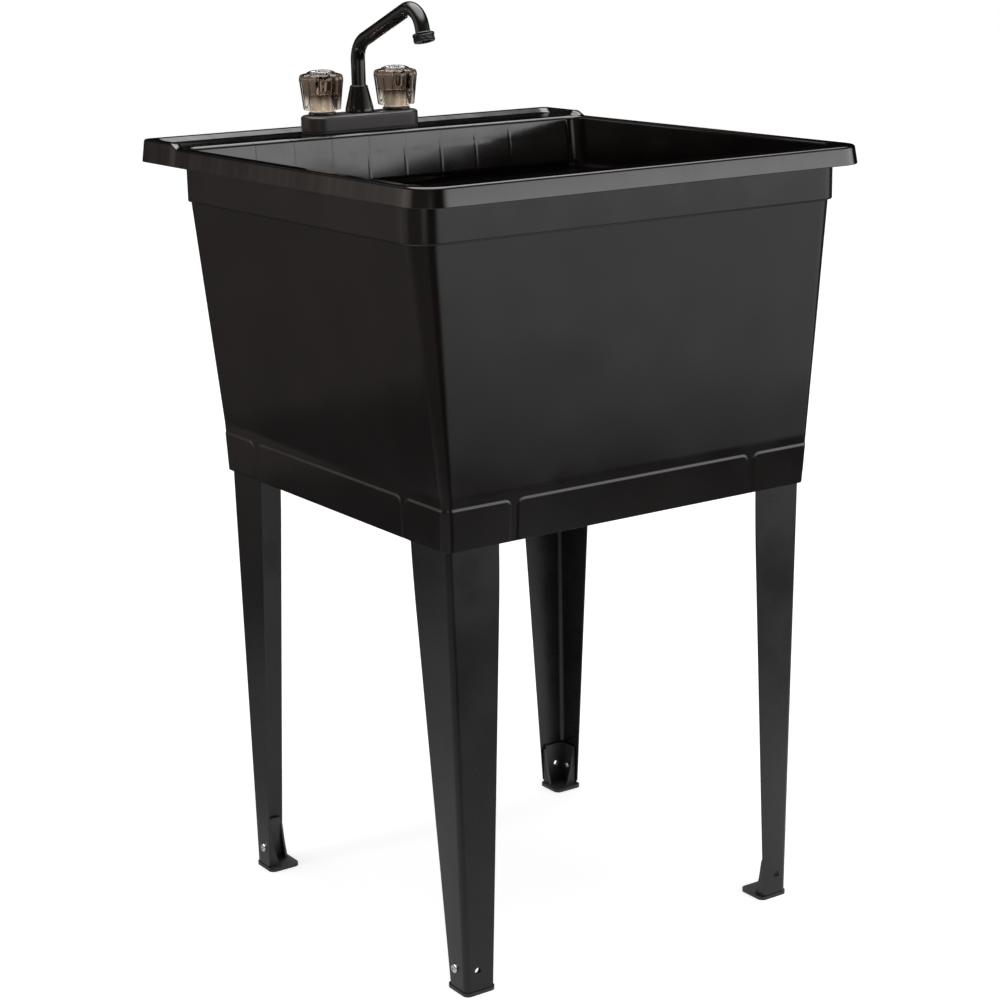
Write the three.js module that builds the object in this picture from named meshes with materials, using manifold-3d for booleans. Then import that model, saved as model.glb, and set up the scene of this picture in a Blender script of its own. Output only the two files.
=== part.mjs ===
// Freestanding utility laundry sink: a one-piece moulded tub on four bent sheet-steel legs, with a two-knob
// centreset tap on its rear deck and a screwed drain with a plug. Millimetres, +Z up, +Y towards the wall.
// Origin: on the floor, under the middle of the rim. The user stands at -Y; "left" is -X.
import * as THREE from "three";
import { mergeVertices } from "three/addons/utils/BufferGeometryUtils.js";
import Module from "manifold-3d";

const wasm = await Module();
wasm.setup();

// ---------------------------------------------------------------- driving dimensions
const fit = 0.3; // gap left between two pieces that touch
const cutOver = 1; // how far a cutting tool reaches past what it cuts
const wideFaces = 16; // facets round the drain
const roundFaces = 15; // facets round the tap's turned pieces
const smallFaces = 10; // facets round bolts, screws and small bores

// Tub
const rimWidth = 570;
const rimDepth = 600;
const rimHeight = 864;
const wall = 3.2;
const rimDrop = 20; // height of the turned-down skirt of the rim
const rimDraft = 3.5; // how far that skirt leans in towards its top
const rimFrontRadius = 35;
const rimRearRadius = 12;
const rimEdge = 2; // rounding of the rim's outer top edge
const basinEdge = 5; // rounding where the rim turns down into the basin
const lipHeight = 5.5; // raised lip round the rear deck
const lipTopInset = 12.5; // rim's outer edge to the inner edge of the lip's top, round the deck
const lipFootSide = 17; // rim's outer edge to the lip's foot, at the deck's ends
const lipFootRear = 25; // the same at the rear
const lipReach = 75; // how far forward the full lip runs along each side
const lipStepRun = 17; // length of the S-shaped step that ends it
const lipCorner = 9; // radius of the lip's inner corners
const collarSideInset = 12; // rim's outer edge to the collar
const collarFrontInset = 28.5;
const deckDepth = 79.5; // rim's rear edge to the collar's rear face
const collarBottom = 59; // below the rim's top
const collarStep = 4.7; // how far the collar stands proud of the body, at the sides and front
const collarStepRear = 2;
const collarFrontRadius = 30;
const collarRearRadius = 20;
const basinDepth = 317; // rim's top to the crease over the lower skirt
const sideTaper = 28.5; // how far each side wall leans in from collar to crease
const frontTaper = 9;
const rearTaper = 2.5;
const creaseRadius = 10;
const skirtHeight = 55; // open skirt under the basin floor
const skirtTaper = 2.2;
const skirtFrontTaper = 4.3;
const skirtRadius = 9.5;
const floorFillet = 16;
const floorFall = 3; // fall of the basin floor to the drain
const floorUnderDrop = 3.2; // crease to the flat underside of the floor
const deckRibPitch = 50; // stiffening ribs under the rear deck
const deckRibMiddle = -15; // middle of their row, which keeps them clear of the nuts under the deck
const deckRibCount = 8;
const deckRibThickness = 2;
const deckRibDrop = 34;
const bandProud = 0.8; // raised band round the lower skirt
const bandHeight = 44.5;
const grooveFront = 82; // skirt's corner to the upright groove in the band, in the front and rear faces
const grooveSide = 76; // the same in the side faces
const grooveWidth = 9;
const sumpDraft = 4; // how much wider the sump is at its top

// Legs and feet
const legThickness = 1.6;
const legBend = 7; // outer radius of the bend
const legPlay = 0.8; // leg's outer face to the skirt's inner face at the skirt's lower edge
const legLean = { front: { x: 11, y: 3 }, rear: { x: 4.5, y: 5.5 } }; // how far legs lean in to their feet
const legFrontTop = 64; // width of the flange that faces front or rear
const legFrontFoot = 34;
const legSideTop = 70; // width of the flange that faces the side
const legSideFoot = 31;
const legKnee = 0.24; // share of the leg's height where the taper begins
const legHoleRadius = 3.6;
const legHoleHeight = 27;
const spareHoleSetback = 15.5; // leg's corner to the open hole in the flange that faces front or rear
const boltSetback = 20.4; // leg's corner to the bolt in the flange that faces the side
const legNick = 3; // how far the flanges are nicked in at their lower end
const socketWall = 2.6;
const socketDepth = 46;
const socketEnd = 2; // leg's free edges to the ends of its socket
const footPlate = 4; // thickness of the foot's base plate
const footLedge = 1; // how far that plate shows outside the leg
const footReach = 38; // plate's width and depth
const footHeight = 54;
const footWall = 3;
const footWallInset = 3; // leg's free edges to the ends of the foot's walls
const gussetReach = 14; // how far the gussets reach in at the plate
const gussetHeight = 49.7;
const gussetThickness = 2.4;
const footCorner = 7;
const boltRadius = 2.9;
const boltHeadRadius = 5;
const boltHead = 3;
const boltTip = 2; // bolt's length past its nut
const nutRadius = 5;
const nutHeight = 4;

// Drain
const sumpRadius = 47;
const sumpDepth = 4;
const drainFlangeRadius = 42;
const drainFlange = 2.5;
const drainOuter = 22;
const drainBore = 18.5;
const drainLength = 46; // underside of the flange to the threaded end
const crossDepth = 32; // top of the flange to the foot of the cross that keeps things out of the pipe
const crossHeight = 5;
const crossHalf = 1.5; // half the thickness of its bars
const drainGasket = 3;
const drainGasketRadius = 34;
const drainWasher = 1.5;
const locknutHeight = 11;
const locknutRadius = 33;
const locknutLugs = 6;
const locknutLugReach = 4;
const locknutLugHalf = 3;
const tailOuter = 19;
const tailBore = 17.5;
const tailLength = 60;
const tailFlange = 2.4;
const tailFlangeRadius = 21.5;
const tailSeal = 1.7;
const slipNutHeight = 18;
const slipNutWall = 4.5;
const slipNutFloor = 3;
const slipNutRibs = 8;
const slipNutRibReach = 2;
const plugTopRadius = 26;
const plugTop = 3.5;
const plugBody = 14;
const plugTaper = 1.6;
const loopRadius = 7; // pull loop, on its centre line
const loopThickness = 1.8; // radius of the loop's section
const loopRise = 6.5; // plug's top to the loop's middle

// Tap
const tapCentres = 101.6; // four inches between the knobs
const tapSetback = 49; // rim's rear edge to the line of the knobs
const tapOffset = -19; // the tap stands a little left of the tub's middle
const tapLength = 152;
const tapDepth = 44;
const tapRadius = 18;
const tapHeight = 17.5;
const tapShell = 2.4;
const tapEdge = 3;
const tapGasket = 3;
const shankRadius = 10.3;
const shankBore = 6.5;
const shankLength = 46; // below the deck
const barrelRadius = 13;
const waterwayFloor = 3;
const passageHalf = 3; // half the width of the passage between the barrels
const waterwayHeight = 9; // height of the channel between the barrels
const waterwayWidth = 16;
const deckHoleRadius = 14;
const mountWasher = 2;
const mountWasherRadius = 18.5;
const mountNutHeight = 13;
const mountNutRadius = 15;
const wingReach = 5;
const wingHalf = 2;
const wingNotch = 3; // nut's top to the top of its wings
const bonnetRadius = 16.3;
const bonnetHeight = 3;
const stemRadius = 4.4;
const cartridgeRadius = 9;
const cartridgeDepth = 12;
const bonnetNeck = 11; // radius of the part that goes down through the cover

// Knobs
const knobTopRadius = 26.2;
const knobBottomRadius = 22;
const knobHeight = 42;
const knobLift = 2.5; // underside of the lobes above the core's foot
const knobLobes = 10;
const knobGroove = 3;
const knobShoulder = 5;
const coreRadius = 15;
const coreTopRadius = 13.5;
const coreHeight = 21;
const coreRoof = 1.5;
const capRadius = 17;
const capDome = 4;
const capSeat = 1.6;
const knobScrewHead = 4.2;
const knobScrewHeadHeight = 2.6;
const knobScrewRadius = 1.9;
const knobScrewLength = 9;
const knobWeb = 4; // plastic between the core's socket and the screw's head

// Spout
const coneBottomRadius = 17;
const coneTopRadius = 10.2;
const coneHeight = 31;
const tubeRadius = 8.5;
const tubeWall = 1.7;
const tubeRise = 59.5; // base's top to the start of the first bend
const tubeLowerBend = 27.5; // bend radii on the tube's centre line
const tubeUpperBend = 25.8;
const tubeSlope = 21.2; // degrees above level of the long straight
const tubeStraight = 97.5;
const tubeDive = 73; // degrees below level where the outlet points
const tubeOutlet = 14.7;
const socketInsert = 10; // how far the tube reaches down into the base
const tubeSides = 10;
const ringRadius = 9.6; // retaining ring on the tube under the cone
const ringHeight = 2.4;
const ringLift = 2; // tube's lower end to the ring
const spoutHoleRadius = 11.8; // opening for the spout in the cover
const spoutSocketWall = 4;
const nozzleRadius = 12.6;
const nozzleLength = 9.6;
const nozzleGrip = 6.5; // how far the outlet's end sits inside the nozzle
const nozzleCollar = 3;
const threadDepth = 0.5;
const strainerThickness = 1.2;
const strainerHole = 1.1;
const strainerCircle = 4.6; // radius of the circle that its holes lie on
const strainerHoles = 6;

// ---------------------------------------------------------------- places worked out from them
const halfWidth = rimWidth / 2;
const halfDepth = rimDepth / 2;
const rimUnder = rimHeight - wall;
const rimFoot = rimHeight - rimDrop;
const creaseZ = rimHeight - basinDepth;
const skirtFoot = creaseZ - skirtHeight;
const collarZ = rimHeight - collarBottom;
const floorUnder = creaseZ - floorUnderDrop;
const tapY = halfDepth - tapSetback;
const deckZ = rimHeight;

// Outlines of the tub at the heights that matter: half width, front and rear, front and rear corner radius.
const inset = (o, by, byRear = by) => ({
  x: o.x - by,
  front: o.front + by,
  rear: o.rear - byRear,
  rf: Math.max(o.rf - by, 1),
  rr: Math.max(o.rr - by, 1),
});
const outlineRimFoot = {
  x: halfWidth,
  front: -halfDepth,
  rear: halfDepth,
  rf: rimFrontRadius,
  rr: rimRearRadius,
};
const outlineRimTop = inset(outlineRimFoot, rimDraft);
const outlineCollar = {
  x: halfWidth - collarSideInset,
  front: collarFrontInset - halfDepth,
  rear: halfDepth - deckDepth,
  rf: collarFrontRadius,
  rr: collarRearRadius,
};
const outlineBody = inset(outlineCollar, collarStep, collarStepRear);
const outlineCrease = {
  x: outlineBody.x - sideTaper,
  front: outlineBody.front + frontTaper,
  rear: outlineBody.rear - rearTaper,
  rf: creaseRadius,
  rr: creaseRadius,
};
const outlineSkirtFoot = {
  ...inset(outlineCrease, skirtTaper),
  front: outlineCrease.front + skirtFrontTaper,
  rf: skirtRadius,
  rr: skirtRadius,
};
const drainY = (outlineCrease.front + outlineCrease.rear) / 2;

// ---------------------------------------------------------------- materials
const finish = (color, roughness, metalness = 0, extra = {}) =>
  new THREE.MeshStandardMaterial({ color, roughness, metalness, ...extra });
const tubPlastic = finish(0x17171a, 0.28);
const legPaint = finish(0x1b1b1d, 0.42, 0.2);
const footPlastic = finish(0x1c1c1d, 0.55);
const tapPlastic = finish(0x202022, 0.35);
const zinc = finish(0xc9cbcd, 0.3, 1);
const rubber = finish(0x121212, 0.8);
const whitePlastic = finish(0xe8e6df, 0.45);
const innerPlastic = finish(0x8d9094, 0.5);
const smoke = finish(0x6b5748, 0.08, 0, { transparent: true, opacity: 0.55 });
const frost = finish(0xe6dfd2, 0.5, 0, { transparent: true, opacity: 0.9 });
const clear = finish(0xd8d0c6, 0.06, 0, { transparent: true, opacity: 0.5 });
const steel = finish(0xb9bbbd, 0.3, 1);

// ---------------------------------------------------------------- helpers
const sink = new THREE.Group();

/** A three.js geometry as a manifold solid. */
function solid(geometry) {
  const g = geometry.index ? geometry.toNonIndexed() : geometry.clone();
  g.deleteAttribute("normal");
  g.deleteAttribute("uv");
  const merged = mergeVertices(g, 1e-4);
  return new wasm.Manifold(
    new wasm.Mesh({
      numProp: 3,
      vertProperties: new Float32Array(merged.attributes.position.array),
      triVerts: new Uint32Array(merged.index.array),
    }),
  );
}

/** A manifold solid as a three.js geometry. */
function geometryOf(made) {
  const m = made.getMesh();
  const places = new Float32Array(m.numVert * 3);
  for (let i = 0; i < m.numVert; i++)
    places.set(m.vertProperties.subarray(i * m.numProp, i * m.numProp + 3), i * 3);
  const g = new THREE.BufferGeometry();
  g.setAttribute("position", new THREE.BufferAttribute(places, 3));
  g.setIndex(new THREE.BufferAttribute(new Uint32Array(m.triVerts), 1));
  g.computeVertexNormals();
  return g;
}

/** Adds one named piece to the sink. */
function piece(name, shape, material, parent = sink) {
  const geometry = shape.isBufferGeometry ? shape : geometryOf(shape);
  const mesh = new THREE.Mesh(geometry, material);
  mesh.name = name;
  parent.add(mesh);
  return mesh;
}

/** A closed turned form about +Z, from [radius, height] pairs that run upwards on the outside. */
function turned(profile, segments = roundFaces) {
  const points = profile.map(([r, z]) => new THREE.Vector2(r, z));
  return new THREE.LatheGeometry(points, segments).rotateX(Math.PI / 2);
}

/** A closed turned ring or tube: the profile is closed on itself. */
const ring = (profile, segments = roundFaces) => turned([...profile, profile[0]], segments);

/** A ring with a plain rectangular section. */
const washer = (inner, outer, low, high, segments = roundFaces) =>
  ring([[inner, low], [outer, low], [outer, high], [inner, high]], segments);

/** A plain disc or rod about +Z. */
const rod = (radius, low, high, segments = roundFaces) =>
  turned([[0, low], [radius, low], [radius, high], [0, high]], segments);

/** Radius of a bore with so many facets whose flats stay clear of a round piece that turns in it. */
const clearOf = (radius, segments) => (radius + fit) / Math.cos(Math.PI / segments);

/** A flat shape drawn in X and Y, extruded from one height to another. */
function slab(shape, low, high, options = {}) {
  const plain = { depth: high - low, bevelEnabled: false, curveSegments: 4 };
  return new THREE.ExtrudeGeometry(shape, { ...plain, ...options }).translate(0, 0, low);
}

/** A box between two corners. */
function block(x0, y0, z0, x1, y1, z1) {
  const g = new THREE.BoxGeometry(x1 - x0, y1 - y0, z1 - z0);
  return g.translate((x0 + x1) / 2, (y0 + y1) / 2, (z0 + z1) / 2);
}

/** A rectangle with round corners, centred on a point. */
function roundedRectangle(length, depth, radius, cx = 0, cy = 0) {
  const r = Math.min(radius, length / 2 - 0.01, depth / 2 - 0.01);
  const s = new THREE.Shape();
  s.absarc(cx + length / 2 - r, cy - depth / 2 + r, r, -Math.PI / 2, 0);
  s.absarc(cx + length / 2 - r, cy + depth / 2 - r, r, 0, Math.PI / 2);
  s.absarc(cx - length / 2 + r, cy + depth / 2 - r, r, Math.PI / 2, Math.PI);
  s.absarc(cx - length / 2 + r, cy - depth / 2 + r, r, Math.PI, 1.5 * Math.PI);
  return s;
}

/** A skin over rings of equally many points. Each end is closed by a fan, or the skin closes on itself. */
function loft(rings, closeOnItself = false) {
  const count = rings[0].length;
  const places = rings.flat().flatMap((p) => [p.x, p.y, p.z]);
  const faces = [];
  const quad = (a, b) => {
    for (let j = 0; j < count; j++) {
      const k = (j + 1) % count;
      faces.push(a * count + j, a * count + k, b * count + k, a * count + j, b * count + k, b * count + j);
    }
  };
  for (let i = 0; i + 1 < rings.length; i++) quad(i, i + 1);
  if (closeOnItself) quad(rings.length - 1, 0);
  else
    [[0, true], [rings.length - 1, false]].forEach(([end, first]) => {
      const middle = new THREE.Vector3();
      rings[end].forEach((p) => middle.addScaledVector(p, 1 / count));
      const tip = places.length / 3;
      places.push(middle.x, middle.y, rings[end].tipZ ?? middle.z);
      for (let j = 0; j < count; j++) {
        const a = end * count + j;
        const b = end * count + ((j + 1) % count);
        faces.push(...(first ? [tip, b, a] : [tip, a, b]));
      }
    });
  const g = new THREE.BufferGeometry();
  g.setAttribute("position", new THREE.Float32BufferAttribute(places, 3));
  g.setIndex(faces);
  return g;
}

/** The union of several geometries or solids. */
const join = (...shapes) => shapes.map(asSolid).reduce((a, b) => a.add(b));
/** The first shape less all the others. */
const cut = (shape, ...tools) => tools.map(asSolid).reduce((a, b) => a.subtract(b), asSolid(shape));
const asSolid = (shape) => (shape.isBufferGeometry ? solid(shape) : shape);

// ---------------------------------------------------------------- tub
const frontSteps = 5; // facets of a front corner
const rearSteps = 4;
const lipSteps = 4; // facets of the S-shaped step

const lipStart = halfDepth - lipReach - lipStepRun;

/** Share of the lip's full form at a place along the rim's side: an S-shaped rise towards the rear. */
function lipShare(y) {
  const t = THREE.MathUtils.clamp((y - lipStart) / lipStepRun, 0, 1);
  return t * t * (3 - 2 * t);
}

/** Points on a round corner, from one angle in quarter turns to another. */
function roundCorner(cx, cy, r, from, to, steps) {
  return Array.from({ length: steps + 1 }, (_, i) => {
    const a = (from + (i / steps) * (to - from)) * (Math.PI / 2);
    return new THREE.Vector2(cx + r * Math.cos(a), cy + r * Math.sin(a));
  });
}

/** The right half of a ring: its front corner, then its rear one with points to spare for the lip's step. */
function plainHalf(o) {
  return [
    ...roundCorner(o.x - o.rf, o.front + o.rf, o.rf, -1, 0, frontSteps),
    ...roundCorner(o.x - o.rr, o.rear - o.rr, o.rr, 0, 1, lipSteps + rearSteps + 1),
  ];
}

/** The same with points along the lip's step. Where the lip stands, the sides move in by another reach. */
function lipHalf(o, reach) {
  const step = Array.from({ length: lipSteps + 1 }, (_, i) => {
    const y = lipStart + (i / lipSteps) * lipStepRun;
    return new THREE.Vector2(o.x - reach * lipShare(y), y);
  });
  return [
    ...roundCorner(o.x - o.rf, o.front + o.rf, o.rf, -1, 0, frontSteps),
    ...step,
    ...roundCorner(o.x - reach - o.rr, o.rear - o.rr, o.rr, 0, 1, rearSteps),
  ];
}

/** A whole ring from its right half, with each point's height given as a number or as a function of y. */
function wholeRing(half, height) {
  const at = (x, y) => new THREE.Vector3(x, y, typeof height === "number" ? height : height(y));
  return [...half.map((p) => at(p.x, p.y)), ...half.map((p) => at(-p.x, p.y)).reverse()];
}
const tubRing = (o, height) => wholeRing(plainHalf(o), height);
const lipRing = (o, height, reach = 0) => wholeRing(lipHalf(o, reach), height);

/** The outline part of the way from one to another. */
function between(a, b, share) {
  const mix = (key) => a[key] + (b[key] - a[key]) * share;
  return { x: mix("x"), front: mix("front"), rear: mix("rear"), rf: mix("rf"), rr: mix("rr") };
}

/** The moulded shell: floor's underside, lower skirt, body, collar, rim with its lip, basin and floor. */
function tubShell() {
  const rimTop = (y) => rimHeight + lipHeight * lipShare(y);
  const innerCollar = inset(outlineCollar, wall);
  const basinTop = inset(innerCollar, -basinEdge);
  const flat = halfWidth - rimDraft - rimEdge - basinTop.x; // level part of the rim's top at the sides
  const onFlat = (share) => ({ ...inset(outlineRimTop, rimEdge + flat * share), rr: lipCorner });
  const lipTop = { ...onFlat(1 / 3), rear: halfDepth - lipTopInset };
  const lipFoot = { ...onFlat(1 / 2), rear: halfDepth - lipFootRear };
  const innerBody = inset(outlineBody, wall);
  const innerCrease = inset(outlineCrease, wall);
  const floorZ = creaseZ + wall;
  const filletShare = floorFillet / (collarZ - creaseZ);
  const innerAboveFillet = between(innerCrease, innerBody, filletShare);
  const floorEdge = inset(innerCrease, floorFillet * 0.8);
  const rings = [
    tubRing(inset(outlineCrease, wall + 0.2), floorUnder),
    tubRing(inset(outlineSkirtFoot, wall), skirtFoot),
    tubRing(outlineSkirtFoot, skirtFoot),
    tubRing(outlineCrease, creaseZ),
    tubRing(outlineBody, collarZ + 0.01),
    tubRing(inset(outlineCollar, 1), collarZ),
    tubRing(outlineCollar, collarZ + 1.5),
    tubRing(outlineCollar, rimUnder),
    tubRing(inset(outlineRimTop, wall), rimUnder),
    tubRing(inset(outlineRimFoot, wall), rimFoot),
    lipRing(outlineRimFoot, rimFoot),
    lipRing(outlineRimTop, (y) => rimTop(y) - rimEdge),
    lipRing(inset(outlineRimTop, rimEdge * 0.3), (y) => rimTop(y) - rimEdge * 0.3),
    lipRing(inset(outlineRimTop, rimEdge), rimTop),
    lipRing(lipTop, rimTop, lipTop.x - (halfWidth - lipTopInset)),
    lipRing(lipFoot, rimHeight, lipFoot.x - (halfWidth - lipFootSide)),
    tubRing(basinTop, rimHeight),
    tubRing(inset(innerCollar, -basinEdge * 0.3), rimHeight - basinEdge * 0.3),
    tubRing(innerCollar, rimHeight - basinEdge),
    tubRing(innerCollar, collarZ + wall),
    tubRing(innerBody, collarZ - wall),
    tubRing(innerAboveFillet, creaseZ + floorFillet + wall),
    tubRing(inset(innerAboveFillet, floorFillet * 0.1 + 1), floorZ + floorFillet * 0.4),
    tubRing(inset(innerAboveFillet, floorFillet * 0.35 + 1), floorZ + floorFillet * 0.12),
    tubRing(floorEdge, floorZ),
  ];
  rings.at(-1).tipZ = floorZ - floorFall;
  return loft(rings);
}

/** Stiffening ribs between the collar and the rim's rear skirt, under the deck. */
function deckRibs() {
  const y0 = outlineCollar.rear - wall / 2;
  const y1 = outlineRimTop.rear - wall / 2;
  const profile = new THREE.Shape([
    new THREE.Vector2(y0, rimUnder + wall / 2),
    new THREE.Vector2(y0, rimUnder - deckRibDrop),
    new THREE.Vector2(y1, rimUnder - rimDrop / 2),
    new THREE.Vector2(y1, rimUnder + wall / 2),
  ]);
  return Array.from({ length: deckRibCount }, (_, i) => {
    const x = deckRibMiddle + (i - (deckRibCount - 1) / 2) * deckRibPitch;
    const g = new THREE.ExtrudeGeometry(profile, { depth: deckRibThickness, bevelEnabled: false });
    return g.rotateX(Math.PI / 2).rotateZ(Math.PI / 2).translate(x - deckRibThickness / 2, 0, 0);
  });
}

/** The raised band round the lower skirt, with an upright groove beside each corner in all four faces. */
function skirtBand() {
  const top = skirtFoot + bandHeight;
  const share = bandHeight / skirtHeight;
  const atTop = between(outlineSkirtFoot, outlineCrease, share);
  const rings = [
    tubRing(inset(outlineSkirtFoot, wall / 2), skirtFoot),
    tubRing(inset(outlineSkirtFoot, -bandProud), skirtFoot),
    tubRing(inset(atTop, -bandProud), top - bandProud),
    tubRing(inset(atTop, wall / 2), top),
  ];
  const far = halfWidth + halfDepth;
  const acrossAt = (x) => block(x - grooveWidth / 2, -far, 0, x + grooveWidth / 2, far, rimHeight);
  const alongAt = (y) => block(-far, y - grooveWidth / 2, 0, far, y + grooveWidth / 2, rimHeight);
  const grooveX = outlineSkirtFoot.x - grooveFront;
  return cut(
    loft(rings, true),
    acrossAt(-grooveX),
    acrossAt(grooveX),
    alongAt(outlineSkirtFoot.front + grooveSide),
    alongAt(outlineSkirtFoot.rear - grooveSide),
  );
}

// Where the legs stand: the outer corner of each, at the skirt's foot.
const legCornerX = outlineSkirtFoot.x - wall - legPlay;
const legFrontY = outlineSkirtFoot.front + wall + legPlay;
const legRearY = outlineSkirtFoot.rear - wall - legPlay;
const legTopZ = floorUnder - fit;
const legFootZ = footPlate + fit;

// The sink's corners: name, and signs in X and Y.
const corners = [
  ["front_left", -1, -1],
  ["front_right", 1, -1],
  ["rear_left", -1, 1],
  ["rear_right", 1, 1],
];

/** How far the leg's outer faces stand in from their place at the skirt's foot, at a height. */
const leanShare = (z) => (skirtFoot - z) / (skirtFoot - legFootZ);

/** The L-shaped wall that holds a leg against the skirt, drawn for the corner at +X, +Y. */
function legSocket(sx, sy) {
  const cornerY = sy > 0 ? legRearY : -legFrontY;
  const innerX = legCornerX - legThickness - fit * 2;
  const innerY = cornerY - legThickness - fit * 2;
  const endX = legCornerX - legFrontTop - socketEnd;
  const endY = cornerY - legSideTop - socketEnd;
  const back = legBend + socketWall * Math.tan(Math.PI / 8);
  const outX = outlineSkirtFoot.x - wall / 2;
  const outY = (sy > 0 ? outlineSkirtFoot.rear : -outlineSkirtFoot.front) - wall / 2;
  const s = new THREE.Shape([
    new THREE.Vector2(endX, outY),
    new THREE.Vector2(endX - socketWall, outY),
    new THREE.Vector2(endX - socketWall, innerY - socketWall),
    new THREE.Vector2(innerX - back, innerY - socketWall),
    new THREE.Vector2(innerX - socketWall, innerY - back),
    new THREE.Vector2(innerX - socketWall, endY - socketWall),
    new THREE.Vector2(outX, endY - socketWall),
    new THREE.Vector2(outX, endY),
    new THREE.Vector2(innerX, endY),
    new THREE.Vector2(innerX, innerY - legBend),
    new THREE.Vector2(innerX - legBend, innerY),
    new THREE.Vector2(endX, innerY),
  ]);
  const g = slab(s, floorUnder - socketDepth, floorUnder + wall / 2);
  return mirrored(g, sx, sy);
}

/** A geometry turned to another corner by mirroring, with its faces kept outwards. */
function mirrored(geometry, sx, sy) {
  const g = geometry.clone().applyMatrix4(new THREE.Matrix4().makeScale(sx, sy, 1));
  if (sx * sy > 0) return g;
  const flat = g.index ? g.toNonIndexed() : g;
  const p = flat.attributes.position;
  for (let i = 0; i < p.count; i += 3) {
    const [x, y, z] = [p.getX(i), p.getY(i), p.getZ(i)];
    p.setXYZ(i, p.getX(i + 1), p.getY(i + 1), p.getZ(i + 1));
    p.setXYZ(i + 1, x, y, z);
  }
  return flat;
}

const sumpZ = creaseZ + wall - floorFall - sumpDepth; // seat of the drain flange
const sumpUnder = sumpZ - wall;
const tapXs = [-tapCentres / 2, tapCentres / 2]; // either side of the tap's middle

/** The moulded tub: shell, band, ribs, leg sockets and sump, with holes for the drain and the shanks. */
function tub() {
  const sumpTop = creaseZ + wall - floorFall;
  const midway = rimHeight - basinDepth / 2;
  const half = sumpDraft / 2;
  const sumpBody = rod(sumpRadius + wall, sumpUnder, sumpTop - cutOver, wideFaces).translate(0, drainY, 0);
  const sumpCone = [
    [0, sumpZ],
    [sumpRadius - half, sumpZ],
    [sumpRadius + half, midway],
    [0, midway],
  ];
  const drainHole = rod(drainOuter + fit, sumpUnder - cutOver, sumpZ + cutOver, wideFaces);
  const sumpCut = join(turned(sumpCone, wideFaces), drainHole).translate([0, drainY, 0]);
  const deckHole = rod(deckHoleRadius, rimUnder - cutOver, rimHeight + cutOver).translate(tapOffset, tapY, 0);
  const deckHoles = tapXs.map((x) => deckHole.clone().translate(x, 0, 0));
  const sockets = corners.map(([, sx, sy]) => legSocket(sx, sy));
  return cut(join(tubShell(), skirtBand(), ...deckRibs(), ...sockets, sumpBody), sumpCut, ...deckHoles);
}

// ---------------------------------------------------------------- legs and feet
/** Width of a leg's flange at a height: near constant inside the tub, then tapering down to the foot. */
function flangeWidth(top, foot, z) {
  const t = (legTopZ - z) / (legTopZ - legFootZ);
  const eased = t < legKnee ? (t * t) / (2 * legKnee) : t - legKnee / 2;
  return top - (top - foot) * (eased / (1 - legKnee / 2));
}

/** A leg's outer corner, drawn in the +X, +Y quarter, and its two flange widths, at a height. */
function legAt(z, sy) {
  const lean = sy > 0 ? legLean.rear : legLean.front;
  return {
    x: legCornerX - lean.x * leanShare(z),
    y: (sy > 0 ? legRearY : -legFrontY) - lean.y * leanShare(z),
    front: flangeWidth(legFrontTop, legFrontFoot, z),
    side: flangeWidth(legSideTop, legSideFoot, z),
  };
}

/** A bent sheet-steel leg for one corner, with its two bolt holes near the foot. */
function leg(sx, sy) {
  const bendSteps = 3;
  const stretches = 5;
  const upTo = (share) => legFootZ + share * (legTopZ - legFootZ);
  const above = Array.from({ length: stretches }, (_, i) => upTo((i + 1) / stretches));
  const levels = [legFootZ, legFootZ + legNick, ...above];
  const section = (z, i) => {
    const a = legAt(z, sy);
    const trim = i === 0 ? legNick : 0;
    const arc = (r) =>
      Array.from({ length: bendSteps + 1 }, (_, k) => {
        const t = (k / bendSteps) * (Math.PI / 2);
        return [a.x - legBend + r * Math.cos(t), a.y - legBend + r * Math.sin(t)];
      });
    return [
      [a.x, a.y - a.side + trim],
      ...arc(legBend),
      [a.x - a.front + trim, a.y],
      [a.x - a.front + trim, a.y - legThickness],
      ...arc(legBend - legThickness).reverse(),
      [a.x - legThickness, a.y - a.side + trim],
    ].map(([x, y]) => new THREE.Vector3(x, y, z));
  };
  const sheet = loftFlat(levels.map(section));
  const hole = rod(legHoleRadius, -legSideTop, legSideTop, smallFaces);
  const place = legAt(legHoleHeight, sy);
  const through = {
    side: hole.clone().rotateY(Math.PI / 2).translate(place.x, place.y - boltSetback, legHoleHeight),
    front: hole.clone().rotateX(Math.PI / 2).translate(place.x - spareHoleSetback, place.y, legHoleHeight),
  };
  return mirrored(geometryOf(cut(sheet, through.side, through.front)).toNonIndexed(), sx, sy);
}

/** A loft whose two ends are closed by the flat outline itself, for sections that aren't round. */
function loftFlat(rings) {
  const count = rings[0].length;
  const places = rings.flat().flatMap((p) => [p.x, p.y, p.z]);
  const faces = [];
  for (let i = 0; i + 1 < rings.length; i++)
    for (let j = 0; j < count; j++) {
      const k = (j + 1) % count;
      const [a, b] = [i * count, (i + 1) * count];
      faces.push(a + j, a + k, b + k, a + j, b + k, b + j);
    }
  const cap = (r, base, down) => {
    const flat = r.map((p) => new THREE.Vector2(p.x, p.y));
    THREE.ShapeUtils.triangulateShape(flat, []).forEach(([a, b, c]) => {
      faces.push(...(down ? [base + c, base + b, base + a] : [base + a, base + b, base + c]));
    });
  };
  cap(rings[0], 0, true);
  cap(rings.at(-1), (rings.length - 1) * count, false);
  const g = new THREE.BufferGeometry();
  g.setAttribute("position", new THREE.Float32BufferAttribute(places, 3));
  g.setIndex(faces);
  return g;
}

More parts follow.
